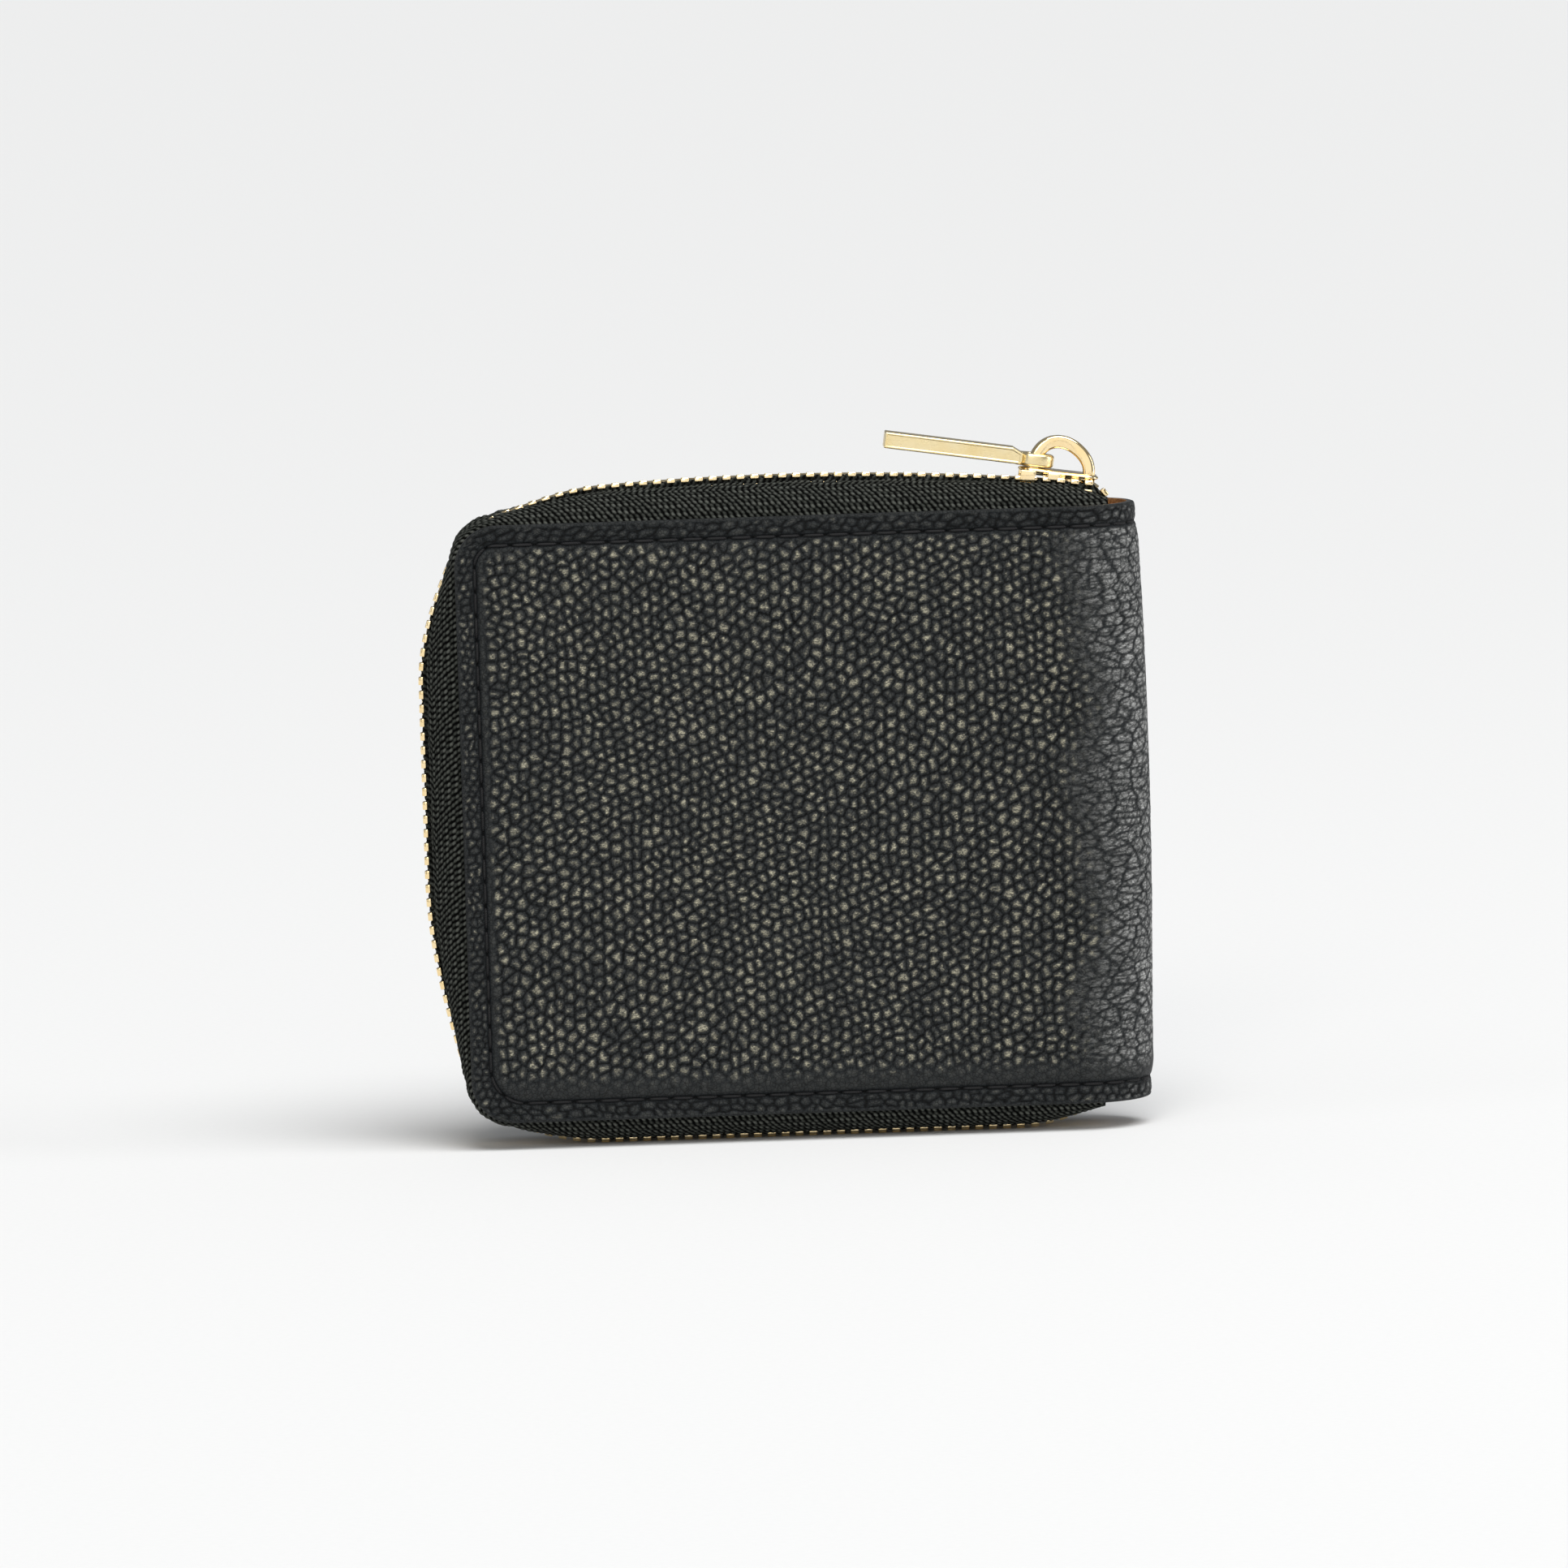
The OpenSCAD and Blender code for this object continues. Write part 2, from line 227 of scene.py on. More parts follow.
def bevelled(piece, width, segments=3, angle=30):
    """Rounds the piece's hard edges."""
    bevel = piece.modifiers.new("round edges", "BEVEL")
    bevel.width = width * MM
    bevel.segments = segments
    bevel.limit_method = "ANGLE"
    bevel.angle_limit = math.radians(angle)
    bevel.harden_normals = False
    return piece


def painted(node, material):
    """A CAD node that shows as it is, in its own material."""
    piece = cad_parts[node]
    piece.data.materials.clear()
    piece.data.materials.append(material)
    return piece


def resampled(line, step):
    """Points a near-constant step apart along a polyline."""
    line = np.asarray(line, float)
    length = run_lengths(line)
    count = max(2, int(round(length[-1] / step)) + 1)
    at = np.linspace(0, length[-1], count)
    return between(at, length, line)


def spline(points, count):
    """A smooth Catmull-Rom curve through the points."""
    p = np.asarray(points, float)
    p = np.concatenate([[2 * p[0] - p[1]], p, [2 * p[-1] - p[-2]]])
    spans = len(p) - 3
    t = np.linspace(0, spans, count)
    i = np.minimum(t.astype(int), spans - 1)
    f = (t - i)[:, None]
    a, b, c, d = p[i], p[i + 1], p[i + 2], p[i + 3]
    return 0.5 * (2 * b + (c - a) * f + (2 * a - 5 * b + 4 * c - d) * f ** 2
                  + (3 * b - a - 3 * c + d) * f ** 3)


def rounded_outline(lo, hi, radius, inset=0.0, per_corner=8, per_side=10):
    """Points round a rectangle with round corners, starting at its lower right side."""
    r = max(0.05, radius - inset)
    x0, z0 = lo[0] + inset, lo[1] + inset
    x1, z1 = hi[0] - inset, hi[1] - inset
    corners = [(x1 - r, z0 + r, -90), (x1 - r, z1 - r, 0), (x0 + r, z1 - r, 90),
               (x0 + r, z0 + r, 180)]
    points = []
    for cx, cz, a0 in corners:
        for k in range(per_corner):
            a = math.radians(a0 + 90 * k / (per_corner - 1))
            points.append((cx + r * math.cos(a), cz + r * math.sin(a)))
    full = []
    for k, point in enumerate(points):
        full.append(point)
        if k % per_corner == per_corner - 1:
            after = points[(k + 1) % len(points)]
            for j in range(1, per_side):
                f = j / per_side
                full.append((point[0] + (after[0] - point[0]) * f,
                             point[1] + (after[1] - point[1]) * f))
    return np.array(full)


# ---- node helpers

class Nodes:
    """A short way to write a material's nodes."""

    def __init__(self, name):
        self.material = bpy.data.materials.new(name)
        self.material.use_nodes = True
        self.tree = self.material.node_tree
        self.shader = self.tree.nodes["Principled BSDF"]

    def add(self, kind, **values):
        """A node of a kind. Capitalised names are its inputs, with underscores for
        spaces, and the others are its settings."""
        node = self.tree.nodes.new(kind)
        for key, value in values.items():
            if key[0].isupper():
                self.link(value, node.inputs[key.replace("_", " ")])
            else:
                setattr(node, key, value)
        return node

    def link(self, source, target):
        """Puts a number, a vector, a colour or another node's output into an input."""
        if isinstance(source, tuple):
            target.default_value = (*source, 1) if target.type == "RGBA" else source
        elif isinstance(source, (int, float)):
            target.default_value = source
        else:
            self.tree.links.new(source, target)

    def math(self, operation, a, b=0.0, clamp=False):
        node = self.add("ShaderNodeMath", operation=operation, use_clamp=clamp)
        self.link(a, node.inputs[0])
        self.link(b, node.inputs[1])
        return node.outputs[0]

    def mapped(self, vector, scale, turn=0.0):
        """Coordinates scaled and turned."""
        return self.add("ShaderNodeMapping", Vector=vector, Scale=scale,
                        Rotation=(0.0, 0.0, math.radians(turn))).outputs["Vector"]

    def surface(self, scale=(1, 1, 1), turn=0.0):
        """The piece's own surface coordinates in millimetres, scaled and turned."""
        uv = self.add("ShaderNodeUVMap", uv_map="surface")
        return self.mapped(uv.outputs["UV"], scale, turn)

    def object_space(self):
        return self.add("ShaderNodeTexCoord").outputs["Object"]

    def noise(self, vector, scale, detail=2.0, rough=0.5, distortion=0.0):
        return self.add("ShaderNodeTexNoise", Vector=vector, Scale=scale, Detail=detail,
                        Roughness=rough, Distortion=distortion).outputs["Fac"]

    def voronoi(self, vector, scale, feature="F1"):
        return self.add("ShaderNodeTexVoronoi", feature=feature, Vector=vector,
                        Scale=scale).outputs["Distance"]

    def spread(self, value, low, high, to_low=0.0, to_high=1.0):
        return self.add("ShaderNodeMapRange", Value=value, From_Min=low, From_Max=high,
                        To_Min=to_low, To_Max=to_high).outputs["Result"]

    def colours(self, fac, *stops):
        """A colour ramp of (position, (r, g, b)) stops."""
        node = self.add("ShaderNodeValToRGB", Fac=fac)
        ramp = node.color_ramp
        while len(ramp.elements) < len(stops):
            ramp.elements.new(0.5)
        for element, (position, colour) in zip(ramp.elements, stops):
            element.position = position
            element.color = (*colour, 1)
        return node.outputs["Color"]

    def mix(self, fac, a, b):
        node = self.add("ShaderNodeMix", data_type="RGBA")
        for value, socket in ((fac, 0), (a, 6), (b, 7)):
            self.link(value, node.inputs[socket])
        return node.outputs[2]

    def bump(self, height, distance, strength):
        return self.add("ShaderNodeBump", Strength=strength, Distance=distance * MM,
                        Height=height).outputs["Normal"]

    def value(self, name):
        return self.add("ShaderNodeAttribute", attribute_name=name).outputs["Fac"]

    def shade(self, **inputs):
        """Sets the shader's inputs, with underscores for spaces, and gives the material."""
        for key, value in inputs.items():
            self.link(value, self.shader.inputs[key.replace("_", " ")])
        return self.material


# ---- materials

def make_leather():
    """Black pebbled leather: the pebbles are real, and this adds a painted highlight on their
    tops, painted shade in their creases, and fine scratches and wrinkles, with painted shade
    along the wrinkles. The spine gets a painted grey sheen, for light that falls on it."""
    n = Nodes("black_pebbled_leather")
    top = n.value("pebble")
    spine = n.value("spine")
    streaks = n.noise(n.surface((1.8, 4.6, 1), 58), 1.0, 2.0, 0.6, 0.9)
    crossed = n.noise(n.surface((1.9, 4.2, 1), -38), 1.0, 2.0, 0.6, 0.9)
    scratch = n.spread(n.math("MINIMUM", streaks, crossed), 0.38, 0.54)
    dab = n.noise(n.surface((0.5, 0.5, 1)), 1.0, 2.0)
    uneven = n.math("ADD", top, n.spread(dab, 0.3, 0.7, -0.08, 0.08))
    # Painted highlight on the pebble tops, broken up by the scratches.
    lit = n.spread(uneven, 0.50, 1.06)
    painted_highlight = n.math("MULTIPLY", lit, n.spread(scratch, 0, 1, 0.12, 1.0), True)
    # Near black in the creases and lighter on the domes: painted shade in the creases.
    base = n.colours(top, (0.0, (0.0012, 0.0017, 0.0024)), (0.13, (0.0150, 0.0176, 0.0200)),
                     (0.50, (0.046, 0.048, 0.047)))
    folds = n.voronoi(n.surface((1.5, 1.5, 1)), 1.0, "DISTANCE_TO_EDGE")
    # Painted shade along the fine wrinkle lines.
    base_with_crease_shade = n.mix(n.spread(folds, 0.0, 0.10, 0.75, 0.0), base, (0.0030, 0.0036, 0.0042))
    # Painted grey sheen on the spine, for light that falls on its round.
    painted_spine_sheen = n.mix(n.math("MULTIPLY", spine, n.spread(scratch, 0, 1, 0.25, 1.0)), base_with_crease_shade,
                 (0.57, 0.574, 0.564))
    # Mixes in the warm beige painted highlight on the pebble tops.
    colour = n.mix(painted_highlight, painted_spine_sheen, (0.500, 0.470, 0.350))
    fine = n.math("ADD", scratch, n.spread(folds, 0.0, 0.2))
    return n.shade(Base_Color=colour, Normal=n.bump(fine, 0.07, 0.9),
                   Roughness=n.spread(scratch, 0.0, 1.0, 0.36, 0.50),
                   Specular_IOR_Level=0.09, Specular_Tint=(1.0, 0.95, 0.84))


def make_edge():
    """Painted leather edge."""
    n = Nodes("painted_edge")
    fleck = n.noise(n.surface((2, 2, 1)), 1.0, 3.0)
    colour = n.colours(fleck, (0.3, (0.016, 0.017, 0.018)), (0.8, (0.045, 0.046, 0.045)))
    return n.shade(Base_Color=colour, Normal=n.bump(fleck, 0.05, 0.5), Roughness=0.42)


def make_inner_leather(name, dark, light):
    """Smooth fine-grained leather for the pockets and the lining."""
    n = Nodes(name)
    grain = n.voronoi(n.surface((1.7, 1.7, 1)), 1.0, "DISTANCE_TO_EDGE")
    cloud = n.noise(n.surface((0.12, 0.12, 1)), 1.0, 4.0, 0.6)
    creases = n.spread(grain, 0.0, 0.16)
    tone = n.math("MULTIPLY", n.spread(cloud, 0.3, 0.7, 0.55, 1.0), creases)
    return n.shade(Base_Color=n.colours(tone, (0.0, dark), (1.0, light)),
                   Normal=n.bump(creases, 0.05, 0.5),
                   Roughness=n.spread(cloud, 0.3, 0.7, 0.42, 0.6), Specular_IOR_Level=0.4)


def make_tape():
    """Woven zip tape: the loops are real, and this adds their fibres and a colour that is
    darker in the gaps and lighter on the loop tops, partly painted shade and highlight.
    """
    n = Nodes("woven_zip_tape")
    loop = n.value("weave")
    fibre = n.noise(n.surface((5, 16, 1), 30), 1.0, 3.0, 0.6)
    mixed = n.math("MULTIPLY", loop, n.spread(fibre, 0.25, 0.75, 0.7, 1.2))
    # Near black in the gaps between loops, partly painted shade; lighter on the loop tops, partly a
    # painted highlight.
    colour = n.colours(mixed, (0.30, (0.0012, 0.0013, 0.0012)), (0.6, (0.022, 0.024, 0.021)),
                       (0.95, (0.098, 0.103, 0.092)))
    height = n.math("ADD", mixed, n.math("MULTIPLY", fibre, 0.3))
    return n.shade(Base_Color=colour, Normal=n.bump(height, 0.10, 0.7),
                   Roughness=n.spread(fibre, 0.3, 0.7, 0.6, 0.8), Specular_IOR_Level=0.03)


def make_gold(name, colour, rough_low, rough_high, stretch=(1, 1, 1), bump=0.01):
    """Plated metal with slight wear, fine marks and an uneven polish."""
    n = Nodes(name)
    where = n.object_space()
    marks = n.noise(n.mapped(where, stretch), 2600.0, 4.0, 0.6)
    cloud = n.noise(where, 260.0, 3.0)
    rough = n.spread(marks, 0.3, 0.7, rough_low, rough_high)
    warm = tuple(c * f for c, f in zip(colour, (0.94, 0.88, 0.74)))
    return n.shade(Base_Color=n.colours(cloud, (0.3, warm), (0.7, colour)), Roughness=rough,
                   Normal=n.bump(marks, bump, 0.5), Metallic=1.0)


def make_thread(name, dark, light):
    """Twisted sewing thread."""
    n = Nodes(name)
    twist = n.add("ShaderNodeTexWave", wave_type="BANDS", bands_direction="DIAGONAL",
                  Vector=n.surface(), Scale=1.6, Distortion=0.6).outputs["Fac"]
    return n.shade(Base_Color=n.colours(twist, (0.1, dark), (0.9, light)),
                   Normal=n.bump(twist, 0.05, 0.8), Roughness=0.6, Specular_IOR_Level=0.2)


def make_foam(name, colour):
    """Foam or board, which the covers hide."""
    n = Nodes(name)
    cells = n.voronoi(n.object_space(), 1800.0)
    dark = tuple(c * 0.6 for c in colour)
    return n.shade(Base_Color=n.colours(cells, (0.0, dark), (0.7, colour)),
                   Normal=n.bump(cells, 0.1, 0.4), Roughness=0.85)


LEATHER = make_leather()
EDGE = make_edge()
POCKET = make_inner_leather("black_pocket_leather", (0.008, 0.008, 0.009), (0.032, 0.033, 0.034))
LINING = make_inner_leather("tan_lining", (0.22, 0.095, 0.032), (0.52, 0.27, 0.115))
TAPE = make_tape()
GOLD = make_gold("polished_gold", (0.98, 0.80, 0.50), 0.06, 0.16)
SATIN = make_gold("satin_gold", (0.86, 0.74, 0.47), 0.24, 0.36, (0.15, 1, 1), 0.02)
THREAD = make_thread("black_thread", (0.002, 0.002, 0.0025), (0.017, 0.0175, 0.0185))
TAN_THREAD = make_thread("tan_thread", (0.20, 0.09, 0.03), (0.45, 0.25, 0.11))
FOAM = make_foam("foam", (0.25, 0.25, 0.26))
BOARD = make_foam("board", (0.48, 0.38, 0.26))


# ---- the outline and the zip's path

RUN_TOP = TOP_END - CORNER_R
RUN_CORNER = CORNER_R * math.pi / 2
RUN_SIDE = PANEL_H - 2 * CORNER_R
FROM_SIDE = RUN_TOP + RUN_CORNER
FROM_LOW = FROM_SIDE + RUN_SIDE
FROM_BOTTOM = FROM_LOW + RUN_CORNER
RUN_ALL = FROM_BOTTOM + BOTTOM_END - CORNER_R


def outline(s):
    """[x, z, nx, nz] of the cover's outline at distances s from the zip's top end."""
    s = np.asarray(s, float)
    cx = LEFT_X + CORNER_R
    a1 = math.pi / 2 + (s - RUN_TOP) / CORNER_R
    a2 = math.pi + (s - FROM_LOW) / CORNER_R
    one = np.ones_like(s)
    zero = np.zeros_like(s)
    high, low = TOP_Z - CORNER_R, BOTTOM_Z + CORNER_R
    parts = [
        (LEFT_X + TOP_END - s, TOP_Z * one, zero, one),
        (cx + CORNER_R * np.cos(a1), high + CORNER_R * np.sin(a1), np.cos(a1), np.sin(a1)),
        (LEFT_X * one, high - (s - FROM_SIDE), -one, zero),
        (cx + CORNER_R * np.cos(a2), low + CORNER_R * np.sin(a2), np.cos(a2), np.sin(a2)),
        (cx + (s - FROM_BOTTOM), BOTTOM_Z * one, zero, -one),
    ]
    run = np.searchsorted([RUN_TOP, FROM_SIDE, FROM_LOW, FROM_BOTTOM], s, side="left")
    return np.stack([np.choose(run, [part[k] for part in parts]) for k in range(4)], -1)


def run_value(s, top, side, bottom, low):
    """Picks the value for the top run, a corner, the side run or the bottom run."""
    run = np.searchsorted([RUN_TOP, FROM_SIDE, FROM_LOW, FROM_BOTTOM], s, side="left")
    return np.choose(run, [top, low, side, low, bottom])


def rise(s, dive=2.6):
    """How far the teeth stand off the outline: pulled in at both corners and ends."""
    s = np.asarray(s, float)
    u = TOP_END - s
    v = CORNER_R + s - FROM_SIDE
    w = CORNER_R + s - FROM_BOTTOM
    top = (RISE_TOP - (u - ARCH_PEAK) ** 2 / (2 * ARCH_R)) * ease((u - 4) / 20)
    top = top * ease((TOP_END - u) / dive)
    side = RISE_SIDE * ease((v - 5) / 21) * ease((PANEL_H - 5.5 - v) / 34)
    bottom = RISE_BOTTOM * ease((w - 5) / 16) * ease((BOTTOM_END - w) / 14)
    return np.maximum(CORNER_RISE, run_value(s, top, side, bottom, np.zeros_like(s)))


def blurred(line, width):
    """The polyline with its corners softened over a number of points."""
    kernel = np.hanning(2 * width + 3)[1:-1]
    kernel = kernel / kernel.sum()
    padded = np.concatenate([np.repeat(line[:1], width, 0), line, np.repeat(line[-1:], width, 0)])
    return np.stack([np.convolve(padded[:, k], kernel, "valid") for k in range(line.shape[1])], 1)


def zip_stations(step=0.1):
    """Rows of [s, x, z, nx, nz, rise] along the zip, softened where runs meet."""
    s = np.arange(0, RUN_ALL, step)
    table = np.column_stack([s, outline(s), rise(s), rise(s, 8.0)])
    table[:, 5:] = blurred(table[:, 5:], 9)
    return table


STATIONS = zip_stations()


def at_station(s, n):
    """[x, z] at a distance n outside the outline, for arrays of the same length."""
    x, z, nx, nz = (np.interp(s, STATIONS[:, 0], STATIONS[:, k]) for k in (1, 2, 3, 4))
    return np.stack([x + nx * n, z + nz * n], -1)


def rise_at(s):
    """How far the teeth stand off the outline."""
    return np.interp(s, STATIONS[:, 0], STATIONS[:, 5])


def web_rise_at(s):
    """The same for the tape's web, which sinks to the cover sooner at the top end."""
    return np.interp(s, STATIONS[:, 0], STATIONS[:, 6])


def corner_fold(s):
    """1 round both corners, where the tape is gathered and covers the teeth."""
    fold = np.zeros_like(s)
    for start in (RUN_TOP, FROM_LOW):
        fold += smooth((s - start + 9) / 8) * smooth((start + RUN_CORNER + 8 - s) / 8)
    return fold


def parting(s):
    """How far each row of teeth has moved off the middle, beyond the slider's wedge."""
    u = TOP_END - np.asarray(s, float)
    return PARTED * smooth((u - SLIDER_AT + 3) / 5)


# ---- leather

def cell_field(u, v, seed, size, jitter_u, jitter_v):
    """For each point, the distance to the border of its cell and a random tone of it."""
    low_u, low_v = u.min() - 3 * size, v.min() - 3 * size
    row_h = size * 0.9
    row = np.floor((v - low_v) / row_h).astype(int)
    rows = row.max() + 5
    columns = int((u.max() - low_u) / size) + 8
    rng = np.random.default_rng(seed)
    jitter = rng.random((rows, columns, 3))
    r_index = np.arange(rows)[:, None]
    c_index = np.arange(columns)[None, :]
    shift = jitter_u * (jitter[:, :, 0] - 0.5)
    centre_u = low_u + (c_index + 0.5 * (r_index % 2) + shift) * size
    centre_v = low_v + (r_index + 0.5 + jitter_v * (jitter[:, :, 1] - 0.5)) * row_h
    best = np.full((2,) + u.shape, 1e9)
    spot = np.zeros((2, 3) + u.shape)
    for dr in (-2, -1, 0, 1, 2):
        r = np.clip(row + dr, 0, rows - 1)
        base = np.floor((u - low_u) / size - 0.5 * (r % 2)).astype(int)
        for dc in (-2, -1, 0, 1, 2):
            c = np.clip(base + dc, 0, columns - 1)
            found = (centre_u[r, c], centre_v[r, c], jitter[r, c, 2])
            distance = np.hypot(u - found[0], v - found[1])
            first = distance < best[0]
            second = ~first & (distance < best[1])
            best[1] = np.where(first, best[0], np.where(second, distance, best[1]))
            best[0] = np.where(first, distance, best[0])
            for k, value in enumerate(found):
                spot[1, k] = np.where(first, spot[0, k], np.where(second, value, spot[1, k]))
                spot[0, k] = np.where(first, value, spot[0, k])
    gap = np.hypot(spot[0, 0] - spot[1, 0], spot[0, 1] - spot[1, 1]) + 1e-6
    edge = (best[1] ** 2 - best[0] ** 2) / (2 * gap)
    return edge, spot[0, 2], spot[1, 2]


def pebble_field(w, z, seed):
    """Pebbled grain on the flat: rows of round domes that run up to the right."""
    turn = math.radians(31)
    bend = 0.9 * np.sin(w / 13.0 + z / 17.0) + 0.5 * np.sin(w / 5.3 - z / 8.1)
    u = w * math.cos(turn) + z * math.sin(turn) + bend
    v = z * math.cos(turn) - w * math.sin(turn) + 0.8 * np.sin(z / 11.0 + w / 23.0) + 0.6 * bend
    edge, tone, other = cell_field(u, v, seed, 1.93, 0.62, 0.56)
    t = clamp01(edge / 0.88)
    dome = 0.6 * t * (2 - t) + 0.4 * smooth(t)
    small, small_tone, _ = cell_field(u, v, seed + 5, 1.2, 0.7, 0.7)
    crease = 1 - clamp01(small / 0.22)
    dome = dome * (0.84 + 0.16 * np.sin(9 * (tone + other))) - 0.20 * crease * (small_tone > 0.3)
    dome -= 0.06 * np.exp(-(edge / 0.14) ** 2)
    return np.clip(dome, 0, 1), tone


def fine_field(w, z, seed):
    """Smaller, flatter grain on the strip outside the seam."""
    wave = 0.3 * np.sin(w / 1.9 + z / 3.3) + 0.3 * np.sin(z / 2.3 - w / 4.1)
    level = (w < SEAM + 1) & (z < TOP_Z - SEAM)
    along = np.where(level, w, w * 0.66)
    edge, tone, _ = cell_field(along + wave, z + wave, seed, 1.35, 0.7, 0.6)
    return smooth(edge / 0.55), tone


def wrinkle_field(w, z, seed):
    """Grain on the spine: pebbles pulled into long flat scales that run round it."""
    wave = 0.5 * np.sin(w / 2.7 + z / 3.1) + 0.9 * np.sin(z / 7.3 + w / 9.0)
    drift = 0.6 * np.sin(w / 1.7 - z / 2.3) + 0.5 * np.sin(w / 3.9 + z / 1.6)
    edge, tone, other = cell_field(w * 0.44 + 0.3 * drift, z * 0.9 + 0.5 * wave, seed, 1.7, 1, 1)
    scale = 0.35 + 0.65 * smooth(edge / 0.30)
    fine, _, _ = cell_field(w * 0.6 + wave, z * 1.1 + 0.4 * drift, seed + 3, 1.0, 1, 1)
    return clamp01(scale * (0.5 + 0.5 * smooth(fine / 0.24))), 0.5 * (tone + other)


def edge_distance(w, z):
    """Distance of a sheet point inside the cover's edge, which has no edge at the spine."""
    dz = np.minimum(z - BOTTOM_Z, TOP_Z - z)
    inside = np.minimum(w, dz)
    in_corner = (w < CORNER_R) & (dz < CORNER_R)
    arc = CORNER_R - np.hypot(CORNER_R - w, CORNER_R - dz)
    return np.where(in_corner, arc, inside)


def seam_distance(w, z):
    """Signed distance inside the stitch line, whose corners are tighter than the edge's."""
    upper = z > (BOTTOM_Z + TOP_Z) / 2
    radius = np.where(upper, SEAM_R_TOP, SEAM_R_LOW)
    dz = np.minimum(z - BOTTOM_Z, TOP_Z - z) - SEAM
    dw = w - SEAM
    arc = radius - np.hypot(radius - dw, radius - dz)
    return np.where((dw < radius) & (dz < radius), arc, np.minimum(dw, dz))


def seam_path():
    """[w, z] along the stitch line, from the spine's crest round to the crest."""
    low, high = BOTTOM_Z + SEAM, TOP_Z - SEAM
    points = [(SHEET_W, high)]
    for cz, a0, radius in ((high - SEAM_R_TOP, 90, SEAM_R_TOP), (low + SEAM_R_LOW, 180, SEAM_R_LOW)):
        for k in range(13):
            a = math.radians(a0 + 90 * k / 12)
            points.append((SEAM + radius + radius * math.cos(a), cz + radius * math.sin(a)))
    points.append((SHEET_W, low))
    return resampled(points, PATH_STEP)


def seam_holes():
    """Where the needle went in, along the stitch line."""
    path = seam_path()
    every = int(round(STITCH_PITCH / PATH_STEP))
    return path[every // 2::every]


def grain(w, z, seed):
    """(height in millimetres, pebble value for the painted highlight and crease shade,
    painted sheen on the spine) of the leather's grain at sheet points.
    """
    pebble, tone = pebble_field(w, z, seed)
    wrinkle, fold_tone = wrinkle_field(w, z, seed + 9)
    sway = 1.6 * np.sin(z / 5.7 + seed) + 1.0 * np.sin(z / 2.9)
    on_spine = smooth((w - FLAT_W + 3.5 + sway) / 10)
    height = (1 - on_spine) * 0.27 * (0.7 + 0.6 * tone) * (pebble - 1)
    height += on_spine * 0.36 * (0.8 + 0.4 * fold_tone) * (wrinkle - 1)
    shade = pebble * (1 - on_spine) + 0.36 * wrinkle * on_spine
    # The painted spine sheen grows towards the spine's crest.
    sheen_toward_crest = smooth((w - FLAT_W + 2) / 17)
    return height, shade, on_spine * wrinkle ** 3 * (0.5 + 0.5 * fold_tone) * (0.3 + 0.7 * sheen_toward_crest)


def spine_bulge(w, z):
    """How far the spine swells at mid height."""
    middle = np.sin(math.pi * (z - BOTTOM_Z) / PANEL_H)
    return SPINE_BULGE * middle * smooth((w - FLAT_W + 5) / 9)


def leather_profile(w, z, seed):
    """(height off the sheet, pebble value for the painted highlight and crease shade,
    painted spine sheen) at sheet points.
    """
    relief, pebble, on_spine = grain(w, z, seed)
    edge = edge_distance(w, z)
    seam = seam_distance(w, z)
    border = seam < 0
    rounding = 0.45
    t = clamp01(edge / rounding)
    height = -rounding * (1 - np.sqrt(1 - (1 - t) ** 2))
    height += np.where(border, 0.12 * np.sin(math.pi * clamp01(edge / SEAM)), 0.0)
    height += np.where(border, 0, 0.60 * ease(seam / 3.6) * (1 - 0.5 * on_spine))
    height -= 0.40 * np.exp(-(seam / 0.36) ** 2) * (1 - 0.55 * smooth((w - FLAT_W) / 10))
    height += 0.12 * np.sin(w / 17 + 0.8) * np.sin(z / 21 + seed) * clamp01(seam / 12)
    height += spine_bulge(w, z)
    left = w < SEAM + SEAM_R_LOW
    full = smooth((seam - 0.2) / np.where(left, 2.0, 0.8))
    low_band = smooth((BOTTOM_Z + SEAM + 5.4 - z) / 4.4)
    full = full * (1 - 0.85 * low_band * (1 - border))
    rim = smooth((edge - 0.2) / 0.5) * smooth(-(seam + 0.25) / 0.4)
    strip, strip_tone = fine_field(w, z, seed + 21)
    strip_top = np.where(w < SEAM, 0.68, 0.48) * (0.6 + 0.6 * strip_tone)
    amount = np.where(border, rim, full)
    height += amount * np.where(border, 0.17 * (strip - 1), relief)
    pebble = np.where(border, strip * strip_top, pebble)
    on_spine = np.where(border, 0.55 * on_spine * strip, on_spine)
    for hole_w, hole_z in seam_holes():
        near = np.abs(w - hole_w) + np.abs(z - hole_z) < 2
        away = (w[near] - hole_w) ** 2 + (z[near] - hole_z) ** 2
        height[near] -= 0.26 * np.exp(-away / 0.16)
    # Painted shade in the stitch groove, which also takes out the spine's painted sheen there.
    painted_groove_shade = 1 - 0.92 * np.exp(-(seam / 0.42) ** 2)
    return height, (0.26 + (pebble - 0.26) * amount) * painted_groove_shade, on_spine * amount * painted_groove_shade


def sheet_points(w, z, height):
    """Places sheet coordinates on the front cover's face and round the spine."""
    angle = np.maximum(0, w - FLAT_W) / HALF
    radius = HALF + height
    x = np.where(w > FLAT_W, HINGE_X + radius * np.sin(angle), LEFT_X + w)
    y = np.where(w > FLAT_W, -radius * np.cos(angle), -radius)
    return np.stack([x, y, z], -1)


def eased_steps(low, high, step, fine, margin):
    """Steps from low to high, finer near both ends."""
    ends = np.arange(0, margin, fine)
    count = int(round((high - low - 2 * margin) / step))
    return np.concatenate([low + ends, np.linspace(low + margin, high - margin, count),
                           high - ends[::-1]])


